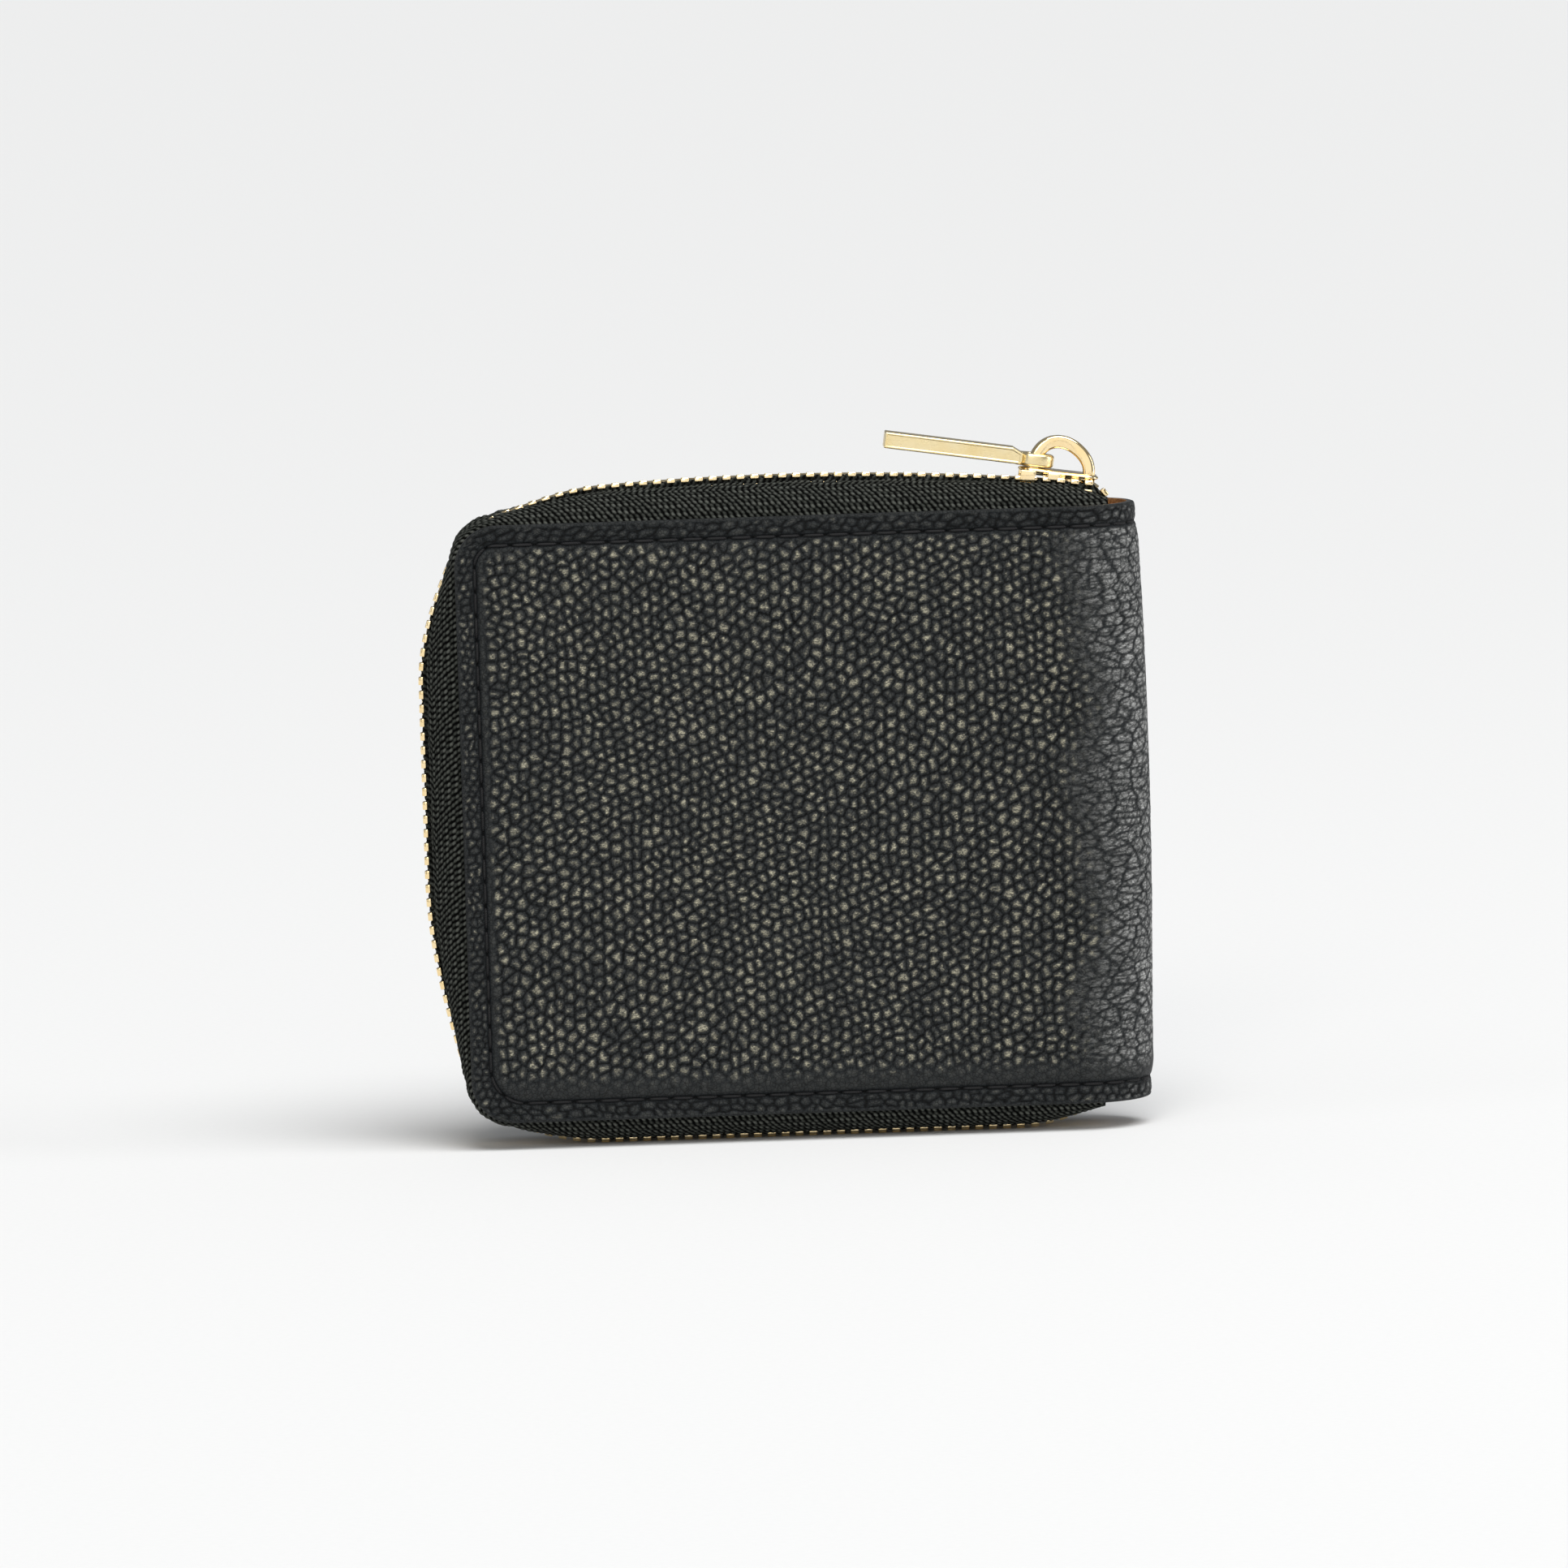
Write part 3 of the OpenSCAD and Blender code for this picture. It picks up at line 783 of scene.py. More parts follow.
def leather_sheet(step):
    """[w, z] of the sheet's outer points, and where each of its rows starts."""
    z_rows = eased_steps(BOTTOM_Z, TOP_Z, step, step / 2, 0.9)
    dz = np.minimum(z_rows - BOTTOM_Z, TOP_Z - z_rows)
    in_corner = clamp01(1 - dz / CORNER_R)
    start = CORNER_R * (1 - np.sqrt(1 - in_corner ** 2))
    flat_count = int(round(SHEET_W / step))
    share = np.concatenate([[0, 0.0012, 0.0026], np.linspace(0.0045, 1, flat_count)])
    w = start[:, None] + share[None, :] * (SHEET_W - start[:, None])
    return w, np.repeat(z_rows[:, None], w.shape[1], 1), start


def sheet_rims(w, under, base):
    """The faces that join the sheet's outer points to its inner ones: along both sides,
    then along both ends."""
    columns = w.shape[1]
    rows, inner = under.shape
    faces = []
    for i in range(rows - 1):
        outer_a, outer_b = i * columns, (i + 1) * columns
        inner_a, inner_b = base + i * inner, base + (i + 1) * inner
        faces.append([outer_a, outer_b, inner_b, inner_a])
        faces.append([outer_a + columns - 1, inner_a + inner - 1,
                      inner_b + inner - 1, outer_b + columns - 1])
    for i, turn in ((0, 1), (rows - 1, -1)):
        first = i * columns
        cut = first + np.searchsorted(w[i], under[i])
        for k in range(inner - 1):
            upper = [min(p, first + columns - 1) for p in range(cut[k], cut[k + 1] + 1)]
            lower = [base + i * inner + k + 1, base + i * inner + k]
            faces.append((list(dict.fromkeys(upper)) + lower)[::turn])
    return faces


def leather_half(name, seed, step):
    """The outer leather of one cover and its half of the spine, as one closed sheet."""
    w, z, start = leather_sheet(step)
    height, pebble, spine = leather_profile(w, z, seed)
    under_w = np.concatenate([[0.0], np.linspace(FLAT_W, SHEET_W, 10)])
    under = np.repeat(under_w[None, :], len(w), 0)
    under[:, 0] = start
    under_z = np.repeat(z[:, :1], under.shape[1], 1)
    outside = sheet_points(w, z, height).reshape(-1, 3)
    inside = sheet_points(under, under_z, np.full(under.shape, -LEATHER_T)).reshape(-1, 3)
    uv = np.concatenate([np.stack([w, z], -1).reshape(-1, 2),
                         np.stack([under, under_z], -1).reshape(-1, 2)])
    faces = grid_faces(*w.shape)
    outer_faces = len(faces)
    faces += [face[::-1] for face in grid_faces(*under.shape, start=len(outside))]
    body_faces = len(faces)
    faces += sheet_rims(w, under, len(outside))
    # The pebble value drives the leather's painted highlight and crease shade, and the spine value
    # its painted sheen.
    values = {key: np.concatenate([value.ravel(), np.zeros(len(inside))])
              for key, value in (("pebble", pebble), ("spine", spine))}
    piece = add_half(name, np.concatenate([outside, inside]), faces, LEATHER, uv, values)
    piece.data.materials.append(EDGE)
    piece.data.materials.append(LINING)
    slots = np.zeros(len(faces), np.int32)
    slots[outer_faces:body_faces] = 2
    slots[body_faces:] = 1
    piece.data.polygons.foreach_set("material_index", slots)
    piece.data.polygons.foreach_set("use_smooth", np.arange(len(faces)) < body_faces)
    return outward(piece)


def stitch_tube(line, radius, sides=7):
    """Points and faces of one stitch: a thread that dives at both ends."""
    line = np.asarray(line, float)
    along = unit(np.gradient(line, axis=0))
    across = unit(np.cross(along, [0.13, 0.97, 0.21]))
    up = np.cross(across, along)
    ends = np.linspace(-1, 1, len(line))
    swell = radius * np.sqrt(np.clip(1 - 0.75 * ends ** 6, 0.05, 1))
    angles = TAU * np.arange(sides) / sides
    ring = (across[:, None] * np.cos(angles)[None, :, None]
            + up[:, None] * np.sin(angles)[None, :, None])
    points = (line[:, None] + ring * swell[:, None, None]).reshape(-1, 3)
    uv = np.stack([np.repeat(np.arange(len(line)) * 0.35, sides),
                   np.tile(angles / TAU * 1.4, len(line))], 1)
    return points, tube_faces(len(line), sides), uv


def joined(parts):
    """One set of points, faces and UVs from several."""
    points, faces, uvs, start = [], [], [], 0
    for part_points, part_faces, uv in parts:
        points.append(part_points)
        uvs.append(uv)
        faces += [[p + start for p in face] for face in part_faces]
        start += len(part_points)
    return np.concatenate(points), faces, np.concatenate(uvs)


def cover_stitching(name):
    """The black stitches along three sides of one cover and its half of the spine."""
    path = seam_path()
    every = int(round(STITCH_PITCH / PATH_STEP))
    first = every // 2
    parts = []
    for start in range(first, len(path) - every, every):
        part = path[start + 5:start + every - 4:6]
        w, z = part[:, 0], part[:, 1]
        ends = np.abs(np.linspace(-1, 1, len(part)))
        height = THREAD_Z + 0.20 * (1 - ends ** 4) - 0.25 * ends ** 6
        height = height + spine_bulge(w, z)
        parts.append(stitch_tube(sheet_points(w, z, height), 0.25))
    points, faces, uv = joined(parts)
    return add_half(name, points, faces, THREAD, uv)


def bend_front(piece):
    """Bakes the piece's placement into its points."""
    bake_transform(piece)


def bend_back(piece):
    """Bakes the piece's placement into its points."""
    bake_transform(piece)


def build_leather():
    step = 0.26
    front = leather_half("front_leather", 11, step)
    bend_front(front)
    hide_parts("front_cover")
    back = leather_half("back_leather", 23, step)
    bend_back(back)
    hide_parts("back_cover", "spine_leather")
    sewn = cover_stitching("front_stitching")
    bend_front(sewn)
    sewn = cover_stitching("back_stitching")
    bend_back(sewn)


# ---- zip tape and teeth

def tape_section(b, web, room, spread, fold):
    """[depth, n] round one cross section of the tape: web, bead at the teeth, back."""
    bead_y = BEAD_Y + spread
    n2 = 0.6 + 0.30 * web
    n3 = 1.0 + 0.72 * web
    guide = [(HEM_DEPTH, -4.6), (HEM_DEPTH, -1.5), (HEM_DEPTH, 0.1), (8.75, n2),
             (7.1, 0.5 * (n2 + n3) + 0.25), (5.3, n3 + 0.1 * fold),
             (bead_y + 1.5, 0.5 * (n3 + b) - 0.35 + 0.7 * fold), (bead_y + 0.55, b - 0.2)]
    across = 84
    line = spline(guide, across)
    slope = unit(np.gradient(line, axis=0))
    normal = np.stack([slope[:, 1], -slope[:, 0]], 1)
    upper = line + normal * TAPE_HALF_T
    lower = (line - normal * TAPE_HALF_T)[::across // 11]
    angles = np.linspace(math.radians(35), math.radians(325), BEAD_POINTS)
    out = np.stack([np.cos(angles), np.sin(angles)], 1)
    bead = np.array([bead_y, b]) + BEAD_R * out
    section = np.concatenate([upper, bead, lower[::-1]])
    section[:, 0] = BEAD_Y + (section[:, 0] - BEAD_Y) * room
    turned = np.zeros_like(section)
    turned[:across] = normal
    turned[across:across + BEAD_POINTS] = out
    return section, turned


def weave(s, across):
    """Height from 0 to 1 of the woven loops, which slant one way on the upper half of
    the tape and the other way on the lower half."""
    turn = np.where(across > MID_TAPE, -LOOP_TURN, LOOP_TURN)
    row = np.round(across / LOOP_ROW)
    best = np.zeros_like(across)
    for dr in (-1, 0, 1):
        r = row + dr
        shift = 0.5 * (r % 2)
        column = np.round(s / LOOP_PITCH - shift)
        for dc in (-1, 0, 1):
            c = column + dc
            odd = np.sin(c * 12.9898 + r * 78.233)
            ds = s - (c + shift + 0.12 * odd) * LOOP_PITCH
            da = across - (r + 0.12 * np.cos(9 * odd)) * LOOP_ROW
            long = (ds * np.cos(turn) + da * np.sin(turn)) / LOOP_LONG
            short = (da * np.cos(turn) - ds * np.sin(turn)) / LOOP_SHORT
            loop = np.sqrt(clamp01(1 - long ** 2 - short ** 2)) * (0.86 + 0.14 * odd)
            best = np.maximum(best, loop)
    return best


def lean(name, depth):
    """The chain leans back a little: the front row stands higher than the back row."""
    return (-LEAN if name.startswith("back") else LEAN) * depth


def tape_half(name):
    """One woven tape, from its hem under the cover to the bead that the teeth grip."""
    s = np.arange(0, RUN_ALL - 0.2, 0.17)
    past = np.maximum(0, outline(s)[:, 0] - HINGE_X)
    room = (np.sqrt((HALF - LEATHER_T - 1) ** 2 - past ** 2) - BEAD_Y) / (HEM_DEPTH - BEAD_Y)
    room = np.where(past > 0, np.minimum(1, room), 1.0)
    room = blurred(room[:, None], 12)[:, 0]
    b = rise_at(s) - TOOTH_H / 2 + lean(name, BEAD_Y)
    web = web_rise_at(s) - TOOTH_H / 2 + lean(name, BEAD_Y)
    fold = corner_fold(s)
    spread = 0.9 * parting(s) / PARTED
    rows, turned = [], []
    for k in range(len(s)):
        section, normals = tape_section(b[k], web[k], room[k], spread[k], fold[k])
        rows.append(section)
        turned.append(normals)
    rows, turned = np.array(rows), np.array(turned)
    steps = np.linalg.norm(np.diff(rows, axis=1), axis=2)
    across = np.concatenate([np.zeros((len(s), 1)), np.cumsum(steps, axis=1)], 1)
    along = np.repeat(s[:, None], rows.shape[1], 1)
    height = weave(along, across)
    shown = np.linalg.norm(turned, axis=2) > 0
    gather = 0.06 * np.sin(along * 1.7 + 2.5 * np.sin(across * 0.5)) * fold[:, None]
    pleat = gather * np.exp(-((rows[:, :, 0] - 6.4) / 2.2) ** 2)
    amount = np.where(shown, 0.30 * (height - 0.6), 0) + pleat
    rows = rows + turned * amount[:, :, None]
    xz = at_station(along.ravel(), rows[:, :, 1].ravel())
    points = np.stack([xz[:, 0], -rows[:, :, 0].ravel(), xz[:, 1]], 1)
    count = rows.shape[1]
    faces = grid_faces(len(s), count, closed=True)
    faces.append(list(range(count)))
    faces.append([(len(s) - 1) * count + k for k in range(count)][::-1])
    uv = np.stack([along.ravel(), across.ravel()], 1)
    values = {"weave": np.where(shown, height, 0.5).ravel()}
    return outward(add_half(name, points, faces, TAPE, uv, values))


def tooth_template():
    """One tooth of the front row, in its own [along, out of the tape, up] millimetres:
    two legs that grip the bead, and a narrower head that reaches past the middle."""
    mesh = bmesh.new()
    h = TOOTH_H / 2 + 0.2
    slot = 0.36
    outer = BEAD_Y + BEAD_R + 0.12
    legs = [(outer, h * 0.70), (outer - 0.18, h * 0.97), (BEAD_Y - 0.4, h), (1.35, h * 0.94)]
    head = [(1.1, h * 0.80), (0.35, h * 0.66), (-0.52, h * 0.60), (-0.62, h * 0.42)]
    upper = legs + head
    profile = upper + [(y, -z) for y, z in upper[::-1]]
    profile += [(outer, -slot), (BEAD_Y - 0.3, -slot), (BEAD_Y - 0.3, slot), (outer, slot)]
    half_w = [TOOTH_W / 2 if y > 1.3 else HEAD_W / 2 for y, z in profile]
    left = [mesh.verts.new((-w, y, z)) for w, (y, z) in zip(half_w, profile)]
    right = [mesh.verts.new((w, y, z)) for w, (y, z) in zip(half_w, profile)]
    count = len(profile)
    for k in range(count):
        after = (k + 1) % count
        mesh.faces.new((left[k], left[after], right[after], right[k]))
    k = len(legs)
    leg_side = list(range(k)) + list(range(count - k - 4, count))
    head_side = list(range(k - 1, count - k - 3))
    for side in (left, right):
        mesh.faces.new([side[i] for i in leg_side])
        mesh.faces.new([side[i] for i in head_side])
    bmesh.ops.recalc_face_normals(mesh, faces=mesh.faces)
    bmesh.ops.bevel(mesh, geom=[e for e in mesh.edges if e.calc_face_angle(0) > 0.6],
                    offset=0.1, segments=2, affect="EDGES", profile=0.6, clamp_overlap=True)
    bmesh.ops.triangulate(mesh, faces=[f for f in mesh.faces if len(f.verts) > 4])
    mesh.verts.ensure_lookup_table()
    return mesh_parts(mesh)


def teeth_half(name, shift):
    """One row of teeth along the whole zip."""
    template, template_faces = tooth_template()
    fine = np.arange(0.8, RUN_ALL - 2.4, 0.05)
    line = at_station(fine, rise_at(fine) - TOOTH_H / 2)
    length = run_lengths(line)
    at = np.arange(0.8 + shift, length[-1], TOOTH_PITCH)
    s = np.interp(at, length, fine)
    centre = between(s, fine, line)
    tangent = unit(between(s, fine, np.gradient(line, axis=0)))
    normal = np.stack([tangent[:, 1], -tangent[:, 0]], 1)
    apart = parting(s)
    parts = []
    for k in range(len(s)):
        along, depth = template[:, 0], template[:, 1]
        up = template[:, 2] + lean(name, depth)
        x = centre[k, 0] + tangent[k, 0] * along + normal[k, 0] * up
        z = centre[k, 1] + tangent[k, 1] * along + normal[k, 1] * up
        y = -(depth + apart[k])
        parts.append((np.stack([x, y, z], 1), template_faces, template[:, :2]))
    points, faces, uv = joined(parts)
    return outward(add_half(name, points, faces, GOLD, uv))


def build_zip():
    for side, shift in (("front", 0.0), ("back", TOOTH_PITCH / 2)):
        tape = tape_half(side + "_tape")
        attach(tape, side + "_half")
        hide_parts(side + "_zip_tape")
        teeth = teeth_half(side + "_teeth", shift)
        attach(teeth, side + "_half")
        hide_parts(side + "_zip_teeth", side + "_top_stop")
    bevelled(painted("bottom_stop", GOLD), 0.3)


# ---- slider and puller

SLOPE = math.asin((SLIDER_AT - ARCH_PEAK) / ARCH_R)
TILT = SLOPE + math.radians(SLIDER_NOSE)
SLIDER_RISE = RISE_TOP - (SLIDER_AT - ARCH_PEAK) ** 2 / (2 * ARCH_R) - TOOTH_H / 2
SLIDER_X = LEFT_X + SLIDER_AT
SLIDER_Z = TOP_Z + SLIDER_RISE
CHANNEL = 1.45
PLATE_T = 1.1
PLATE_TOP = CHANNEL + PLATE_T
SLIDER_LEN = 13.0
SLIDER_W = 7.4
BRIDGE_X = 0.45
BRIDGE_R = 4.55


def on_slider(points):
    """Moves points from the slider's own frame to the wallet's."""
    p = np.asarray(points, float)
    c, s = math.cos(TILT), math.sin(TILT)
    x = SLIDER_X + p[:, 0] * c + p[:, 2] * s
    z = SLIDER_Z - p[:, 0] * s + p[:, 2] * c
    return np.stack([x, p[:, 1], z], 1)


def prism(outline_xy, z0, z1):
    """A flat plate of an outline, from z0 to z1."""
    outline_xy = np.asarray(outline_xy, float)
    n = len(outline_xy)
    low = np.column_stack([outline_xy, np.full(n, z0)])
    high = np.column_stack([outline_xy, np.full(n, z1)])
    return np.concatenate([low, high]), tube_faces(2, n), np.zeros((2 * n, 2))


def box_part(lo, hi):
    x0, y0, z0 = lo
    x1, y1, z1 = hi
    return prism([(x0, y0), (x1, y0), (x1, y1), (x0, y1)], z0, z1)


def plate_outline():
    """A slider plate seen from above: narrow and round behind, wide and square in front."""
    back, front = -SLIDER_LEN / 2, SLIDER_LEN / 2
    half_w = SLIDER_W / 2
    upper = spline([(back, 0), (back + 0.25, 1.7), (back + 1.4, half_w - 0.45),
                    (back + 4.2, half_w - 0.35), (1.0, half_w - 0.05), (front - 1.8, half_w),
                    (front - 0.35, half_w - 0.5), (front, half_w - 1.6), (front - 0.15, 0)], 40)
    lower = upper[1:-1][::-1] * [1, -1]
    return np.concatenate([upper, lower])


def domed_plate(level):
    """One plate of the slider: thin at its edge, thick along the middle. level is 1 for
    the plate that carries the puller and -1 for the one inside the wallet."""
    loop = plate_outline()
    profile = [(0.55, CHANNEL), (0.48, CHANNEL + 0.42), (0.04, CHANNEL + 0.52),
               (0.0, CHANNEL + 0.62), (0.03, CHANNEL + 0.80), (0.22, CHANNEL + 0.95),
               (0.75, PLATE_TOP - 0.04), (1.4, PLATE_TOP)]
    count = len(loop)
    rings = [np.column_stack([loop - unit(loop) * inset, np.full(count, level * z)])
             for inset, z in profile]
    faces = tube_faces(len(rings), count)
    return np.concatenate(rings), faces, np.zeros((count * len(rings), 2))


def slider_guides():
    """The blocks under each plate's sides that keep the tapes apart from the teeth."""
    half_w = SLIDER_W / 2
    top = CHANNEL + 0.6
    parts = []
    for side in (-1, 1):
        for level in (-1, 1):
            for x0, x1, foot in ((-6.1, -3.7, 0.12), (-1.7, 0.35, 0.95)):
                y = sorted((side * (half_w - 0.5), side * (half_w - 0.04)))
                z = sorted((level * top, level * foot))
                parts.append(box_part((x0, y[0], z[0]), (x1, y[1], z[1])))
    parts.append(box_part((1.6, -0.7, -CHANNEL - 0.2), (4.8, 0.7, CHANNEL + 0.2)))
    return parts


def slider_shell():
    """Both plates, their guides and the wedge that parts the teeth."""
    points, faces, uv = joined([domed_plate(1), domed_plate(-1)] + slider_guides())
    shell = outward(add_mesh("slider_shell", on_slider(points), faces, GOLD, uv))
    return bevelled(shell, 0.14, 3, 40)


def swept(line, half_w, half_t, sides, squareness):
    """A bar of rounded section swept along a line in the XZ plane; half_w is across it."""
    line = np.asarray(line, float)
    along = unit(np.gradient(line, axis=0))
    out = np.stack([-along[:, 1], along[:, 0]], 1)
    a = TAU * (np.arange(sides) + 0.5) / sides
    cy, ct = (np.sign(f) * np.abs(f) ** squareness for f in (np.cos(a), np.sin(a)))
    half_w = np.broadcast_to(half_w, len(line))
    half_t = np.broadcast_to(half_t, len(line))
    x = line[:, 0:1] + out[:, 0:1] * ct[None] * half_t[:, None]
    z = line[:, 1:2] + out[:, 1:2] * ct[None] * half_t[:, None]
    y = cy[None] * half_w[:, None]
    points = np.stack([x, y, z], -1).reshape(-1, 3)
    return points, tube_faces(len(line), sides), np.zeros((len(points), 2))


def bridge():
    """The arched bridge that the puller hangs on, fuller on the side away from the spine."""
    a = np.linspace(math.radians(187), math.radians(-7), 72)
    bulge = 0.30 * np.exp(-((a - math.radians(125)) / 0.55) ** 2)
    bulge -= 0.22 * np.exp(-((a - math.radians(52)) / 0.5) ** 2)
    radius = BRIDGE_R + bulge
    line = np.stack([BRIDGE_X + radius * np.cos(a), PLATE_TOP - 0.1 + radius * np.sin(a)], 1)
    spread = np.linspace(0, 1, len(a))
    half_w = 1.25 + 0.3 * np.cos(TAU * spread)
    half_t = 0.98 + 0.10 * np.sin(math.pi * spread)
    points, faces, uv = swept(line, half_w, half_t, 28, 0.5)
    return outward(add_mesh("bridge", on_slider(points), faces, GOLD, uv))


def puller_bar():
    """The straight tab of the puller: a satin bar with a raised rim round each side face."""
    bar_lo = np.array([-28.5, -2.8, PLATE_TOP + 0.25])
    bar_hi = np.array([-6.1, 2.8, PLATE_TOP + 2.85])
    shoulder = 1.6
    outline_xz = [(bar_lo[0], bar_lo[2]), (bar_hi[0] - 0.5, bar_lo[2]), (bar_hi[0], bar_lo[2] + 0.3),
                  (bar_hi[0], bar_hi[2] - 0.75), (bar_hi[0] - shoulder, bar_hi[2]),
                  (bar_lo[0], bar_hi[2])]
    mesh = bmesh.new()
    near = [mesh.verts.new((x, bar_lo[1], z)) for x, z in outline_xz]
    face = mesh.faces.new(near)
    grown = bmesh.ops.extrude_face_region(mesh, geom=[face])
    moved = [v for v in grown["geom"] if isinstance(v, bmesh.types.BMVert)]
    bmesh.ops.translate(mesh, verts=moved, vec=(0, bar_hi[1] - bar_lo[1], 0))
    bmesh.ops.recalc_face_normals(mesh, faces=mesh.faces)
    bmesh.ops.bevel(mesh, geom=list(mesh.edges), offset=0.26, segments=4, affect="EDGES",
                    profile=0.6, clamp_overlap=True)
    sides = [f for f in mesh.faces if abs(f.normal.y) > 0.99 and f.calc_area() > 10]
    bmesh.ops.inset_individual(mesh, faces=sides, thickness=0.10, depth=0)
    bmesh.ops.inset_individual(mesh, faces=sides, thickness=0.12, depth=-0.09)
    points, faces = mesh_parts(mesh)
    return points, faces, np.zeros((len(points), 2))


def puller_eye():
    """The loop at the puller's end, which the bridge runs through."""
    mid = PLATE_TOP + 1.2
    outer = [(-7.3, 1.75), (-6.2, 1.9), (-5.2, 2.55), (-3.6, 2.62), (-2.1, 2.35), (-1.1, 1.45),
             (-0.85, 0.0)]
    hole = [(-5.45, 0.0), (-5.38, 1.0), (-4.9, 1.52), (-3.7, 1.55), (-2.7, 1.48), (-2.25, 0.9),
            (-2.15, 0.0)]
    loops = []
    for guide in (outer, hole):
        top = spline(guide, 36)
        loops.append(np.concatenate([top, (top[:-1] * [1, -1])[::-1]]))
    half_t = 1.06
    soft = 0.5
    bend = [math.radians(a) for a in (90, 68, 45, 22, 0)]
    levels = [(soft * (1 - math.cos(a)), -half_t + soft * (1 - math.sin(a))) for a in bend]
    levels += [(inset, -z) for inset, z in levels[::-1]]
    rings = []
    for loop, centre, sign, share in ((loops[0], (-4.2, 0.0), -1, 1.0),
                                      (loops[1], (-3.8, 0.0), 1, 0.6)):
        away = unit(loop - np.array(centre))
        for inset, z in levels if sign < 0 else levels[::-1]:
            ring = loop + sign * share * inset * away
            rings.append(np.column_stack([ring, np.full(len(ring), mid + z)]))
    count = len(loops[0])
    faces = tube_faces(len(rings), count, wrapped=True)
    return np.concatenate(rings), faces, np.zeros((len(rings) * count, 2))


def build_slider():
    shell = slider_shell()
    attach(shell, "slider")
    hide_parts("slider_body")
    arch = bridge()
    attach(arch, "slider")
    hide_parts("slider_bridge")
    points, faces, uv = puller_bar()
    bar = outward(add_mesh("puller_tab", on_slider(points), faces, SATIN, uv, flat=True))
    points, faces, uv = puller_eye()
    eye = outward(add_mesh("puller_eye", on_slider(points), faces, SATIN, uv))
    for piece in (bar, eye):
        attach(piece, "puller")
    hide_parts("puller")


# ---- inside

def soft_plate(name, lo, hi, radius, material, facing, hole=None):
    """A pocket panel: a plate with soft edges, and a hole if asked.
    facing is -1 for a panel that faces the front and 1 for one that faces the back."""
    thick = hi[1] - lo[1]
    face_y = lo[1] if facing < 0 else hi[1]
    back_y = hi[1] if facing < 0 else lo[1]
    soft = min(0.28, thick * 0.45)
    rim = [(0.0, back_y), (0.0, face_y - facing * soft), (0.3 * soft, face_y - facing * soft * 0.3),
           (soft, face_y), (2.0, face_y), (4.0, face_y)]
    outlines = [((lo[0], lo[2]), (hi[0], hi[2]), radius, inset, y) for inset, y in rim]
    if hole is not None:
        edge = [(-2.0, face_y), (-soft, face_y), (0.0, face_y - facing * soft), (0.0, back_y)]
        outlines += [(*hole, 1.2, inset, y) for inset, y in edge]
    rings = []
    for flat_lo, flat_hi, corner, inset, y in outlines:
        loop = rounded_outline(flat_lo, flat_hi, corner, inset)
        rings.append(np.column_stack([loop[:, 0], np.full(len(loop), y), loop[:, 1]]))
    points = np.concatenate(rings)
    faces = tube_faces(len(rings), len(rings[0]), wrapped=hole is not None)
    uv = points[:, [0, 2]]
    return outward(add_mesh(name, points, faces, material, uv))


def row_of_stitches(name, line, pitch, radius, material):
    """Stitches along a polyline in the wallet's own millimetres."""
    fine = resampled(line, 0.1)
    every = int(round(pitch / 0.1))
    parts = []
    for start in range(0, len(fine) - every, every):
        part = fine[start + 2:start + every - 2:3].copy()
        parts.append(stitch_tube(part, radius, 6))
    points, faces, uv = joined(parts)
    return add_mesh(name, points, faces, material, uv)


def u_line(lo, hi, y, inset):
    """A U along a pocket's two sides and its foot."""
    x0, x1 = lo[0] + inset, hi[0] - inset
    z0, z1 = lo[2] + inset, hi[2] - 0.6
    return [(x0, y, z1), (x0, y, z0), (x1, y, z0), (x1, y, z1)]


def inner_panel(node, body, material, thread, facing, radius=2.0, hole=None):
    """A pocket panel with its stitching, which stands for a CAD node."""
    lo, hi = box_mm(node)
    panel = soft_plate(node + "_panel", lo, hi, radius, material, facing, hole)
    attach(panel, body)
    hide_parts(node)
    face_y = lo[1] if facing < 0 else hi[1]
    inset = 1.8
    top = [(lo[0] + inset, face_y, hi[2] - inset), (hi[0] - inset, face_y, hi[2] - inset)]
    for part, line in (("_stitches", u_line(lo, hi, face_y, inset)), ("_top_stitches", top)):
        sewn = row_of_stitches(node + part, line, 3.0, 0.16, thread)
        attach(sewn, body)


def build_inside():
    inner_panel("front_slip_pocket", "front_half", POCKET, THREAD, 1)
    for k in range(1, 5):
        inner_panel("card_pocket_%d" % k, "front_half", POCKET, THREAD, 1)
    inner_panel("note_pocket", "back_half", LINING, TAN_THREAD, -1)
    teeth_lo, teeth_hi = box_mm("coin_zip_teeth")
    mouth = ((teeth_lo[0] - 1.5, teeth_lo[2] - 0.4), (teeth_hi[0] + 1.5, teeth_hi[2] + 0.4))
    inner_panel("coin_pocket", "back_half", POCKET, THREAD, -1, 3.0, mouth)
    coin_tape()
    coin_teeth(teeth_lo, teeth_hi)
    for node, material in (("front_lining", LINING), ("back_lining", LINING),
                           ("spine_lining", LINING), ("front_padding", FOAM),
                           ("back_padding", FOAM), ("front_board", BOARD),
                           ("back_board", BOARD)):
        painted(node, material)
    for node, material in (("coin_slider", GOLD), ("coin_puller", SATIN)):
        bevelled(painted(node, material), 0.15, 2)


def coin_tape():
    """The coin zip's tape, which shows on both sides of its teeth."""
    lo, hi = box_mm("coin_zip_tape")
    tape = soft_plate("coin_tape", lo, hi, 0.5, TAPE, -1)
    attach(tape, "back_half")
    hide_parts("coin_zip_tape")


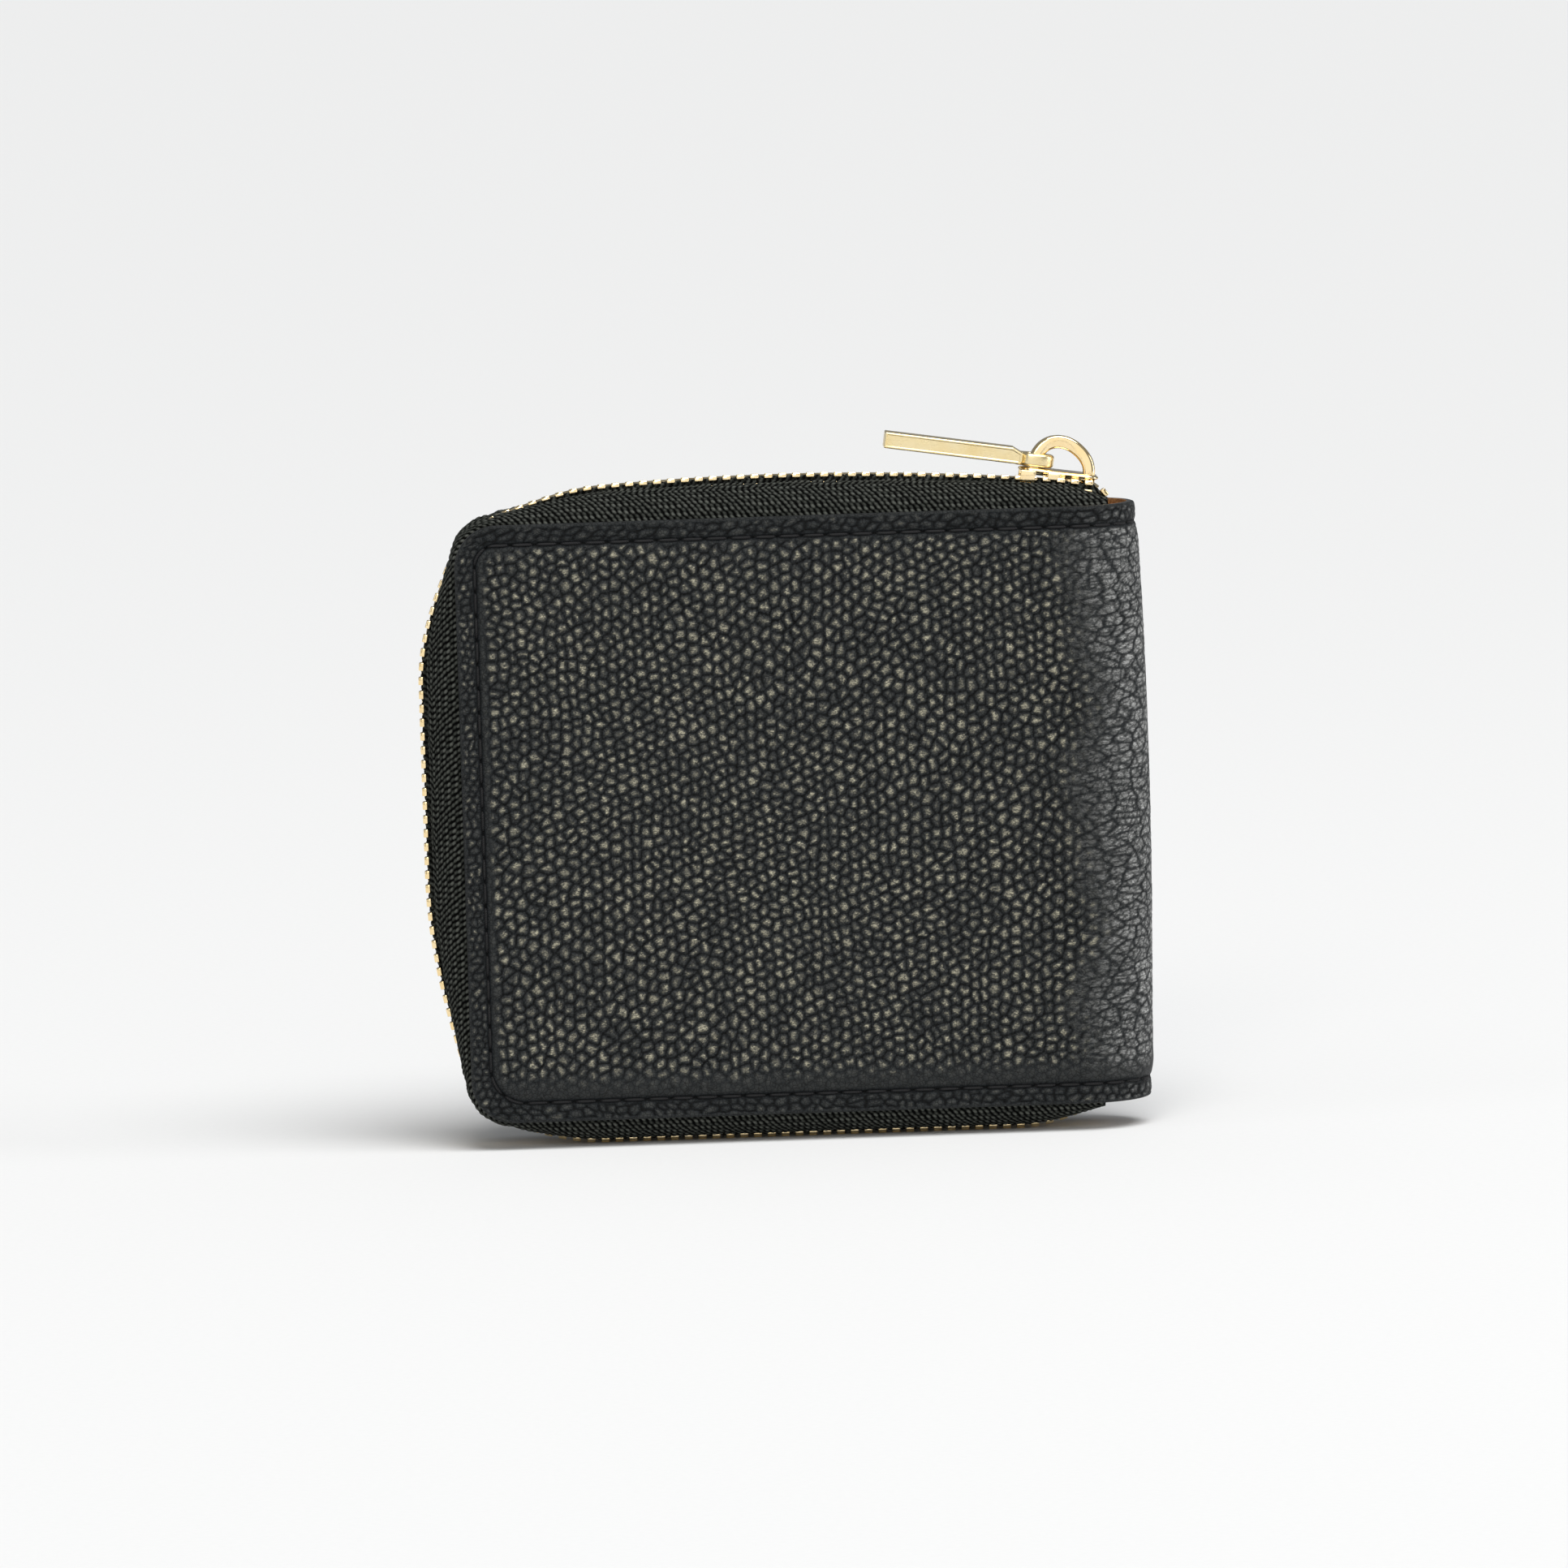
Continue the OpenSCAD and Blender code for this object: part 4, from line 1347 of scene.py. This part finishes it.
def coin_teeth(lo, hi):
    """Two rows of small teeth that mesh along the coin zip."""
    template, faces = tooth_template()
    small = template * [0.72, 0.5, 0.42]
    middle = (lo[2] + hi[2]) / 2
    depth = (lo[1] + hi[1]) / 2
    pitch = 1.6
    parts = []
    for side in (-1, 1):
        for x in np.arange(lo[0] + 0.5 + (side > 0) * pitch / 2, hi[0] - 0.4, pitch):
            points = np.stack([x + small[:, 0], depth + small[:, 2], middle + side * small[:, 1]], 1)
            parts.append((points, faces, template[:, :2]))
    points, all_faces, uv = joined(parts)
    teeth = outward(add_mesh("coin_teeth", points, all_faces, GOLD, uv))
    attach(teeth, "back_half")
    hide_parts("coin_zip_teeth")


# ---- stage, light and camera

def make_floor():
    n = Nodes("pale_floor")
    speckle = n.noise(n.object_space(), 900.0, 2.0)
    colour = n.colours(speckle, (0.0, (0.80, 0.80, 0.80)), (1.0, (0.83, 0.83, 0.83)))
    material = n.shade(Base_Color=colour, Roughness=0.9, Specular_IOR_Level=0.1)
    size = 40000.0
    points = [(-size, -size, 0), (size, -size, 0), (size, size, 0), (-size, size, 0)]
    floor = add_mesh("floor", points, [[0, 1, 2, 3]], material, flat=True)


def make_world():
    """A dim even room, so that the lamps shape the leather."""
    world = bpy.data.worlds.new("studio")
    bpy.context.scene.world = world
    world.use_nodes = True
    background = world.node_tree.nodes["Background"]
    background.inputs["Color"].default_value = (0.95, 0.98, 1.0, 1)
    background.inputs["Strength"].default_value = 0.25


def add_lamp(name, kind, power, colour, turn):
    """A lamp turned by three angles in radians, as (its light, the lamp)."""
    light = bpy.data.lights.new(name, kind)
    light.energy = power
    light.color = colour
    lamp = add_object(name, light)
    lamp.rotation_euler = turn
    return light, lamp


def soft_box(name, place, size, power, colour=(1, 1, 1)):
    """A rectangular soft light at a place in metres, aimed at the wallet's middle."""
    aim = np.array((0, 0, 0.055)) - np.array(place)
    turn = math.atan2(aim[0], -aim[1])
    fall = math.atan2(math.hypot(aim[0], aim[1]), -aim[2])
    light, lamp = add_lamp(name, "AREA", power, colour, (fall, 0, turn + math.pi))
    light.shape = "RECTANGLE"
    light.size, light.size_y = size
    lamp.location = place


def distant_lamp(name, power, softness, turn, colour=(1, 1, 1)):
    """A soft lamp a long way off, so that the floor is evenly lit."""
    light, _ = add_lamp(name, "SUN", power, colour, [math.radians(a) for a in turn])
    light.angle = math.radians(softness)


def make_lights():
    distant_lamp("overhead", 2.75, 44, (25, 11, 0))
    distant_lamp("front", 0.38, 16, (64, 0, -8), (1.0, 0.95, 0.84))
    soft_box("front_panel", (-0.4, -3.0, 0.9), (3.0, 1.6), 13.0, (1.0, 0.98, 0.94))
    soft_box("left_panel", (-2.0, -0.9, 0.7), (1.2, 1.3), 4.0)
    soft_box("right", (1.2, -0.35, 0.35), (0.5, 0.9), 4.5)


def make_camera():
    """The camera stands slightly left of and above the wallet, a long way off."""
    azimuth, elevation = math.radians(-1.6), math.radians(5.2)
    distance = 2.2
    middle = MM * np.array([-0.15, 0, 56.9])
    away = np.array([math.sin(azimuth) * math.cos(elevation),
                     -math.cos(azimuth) * math.cos(elevation), math.sin(elevation)])
    camera = bpy.data.cameras.new("camera")
    camera.sensor_width = 36
    camera.lens = 312.6
    camera.clip_end = 100
    lens = add_object("camera", camera)
    lens.location = middle + away * distance
    roll = math.radians(-1.8)
    bpy.context.scene.camera = lens
    look = (Matrix.Rotation(azimuth, 4, "Z") @ Matrix.Rotation(math.pi / 2 - elevation, 4, "X")
            @ Matrix.Rotation(roll, 4, "Z"))
    lens.rotation_euler = look.to_euler()


make_camera()
make_world()
make_lights()
make_floor()
build_leather()
build_zip()
build_slider()
build_inside()

bpy.context.scene.view_settings.view_transform = "Standard"
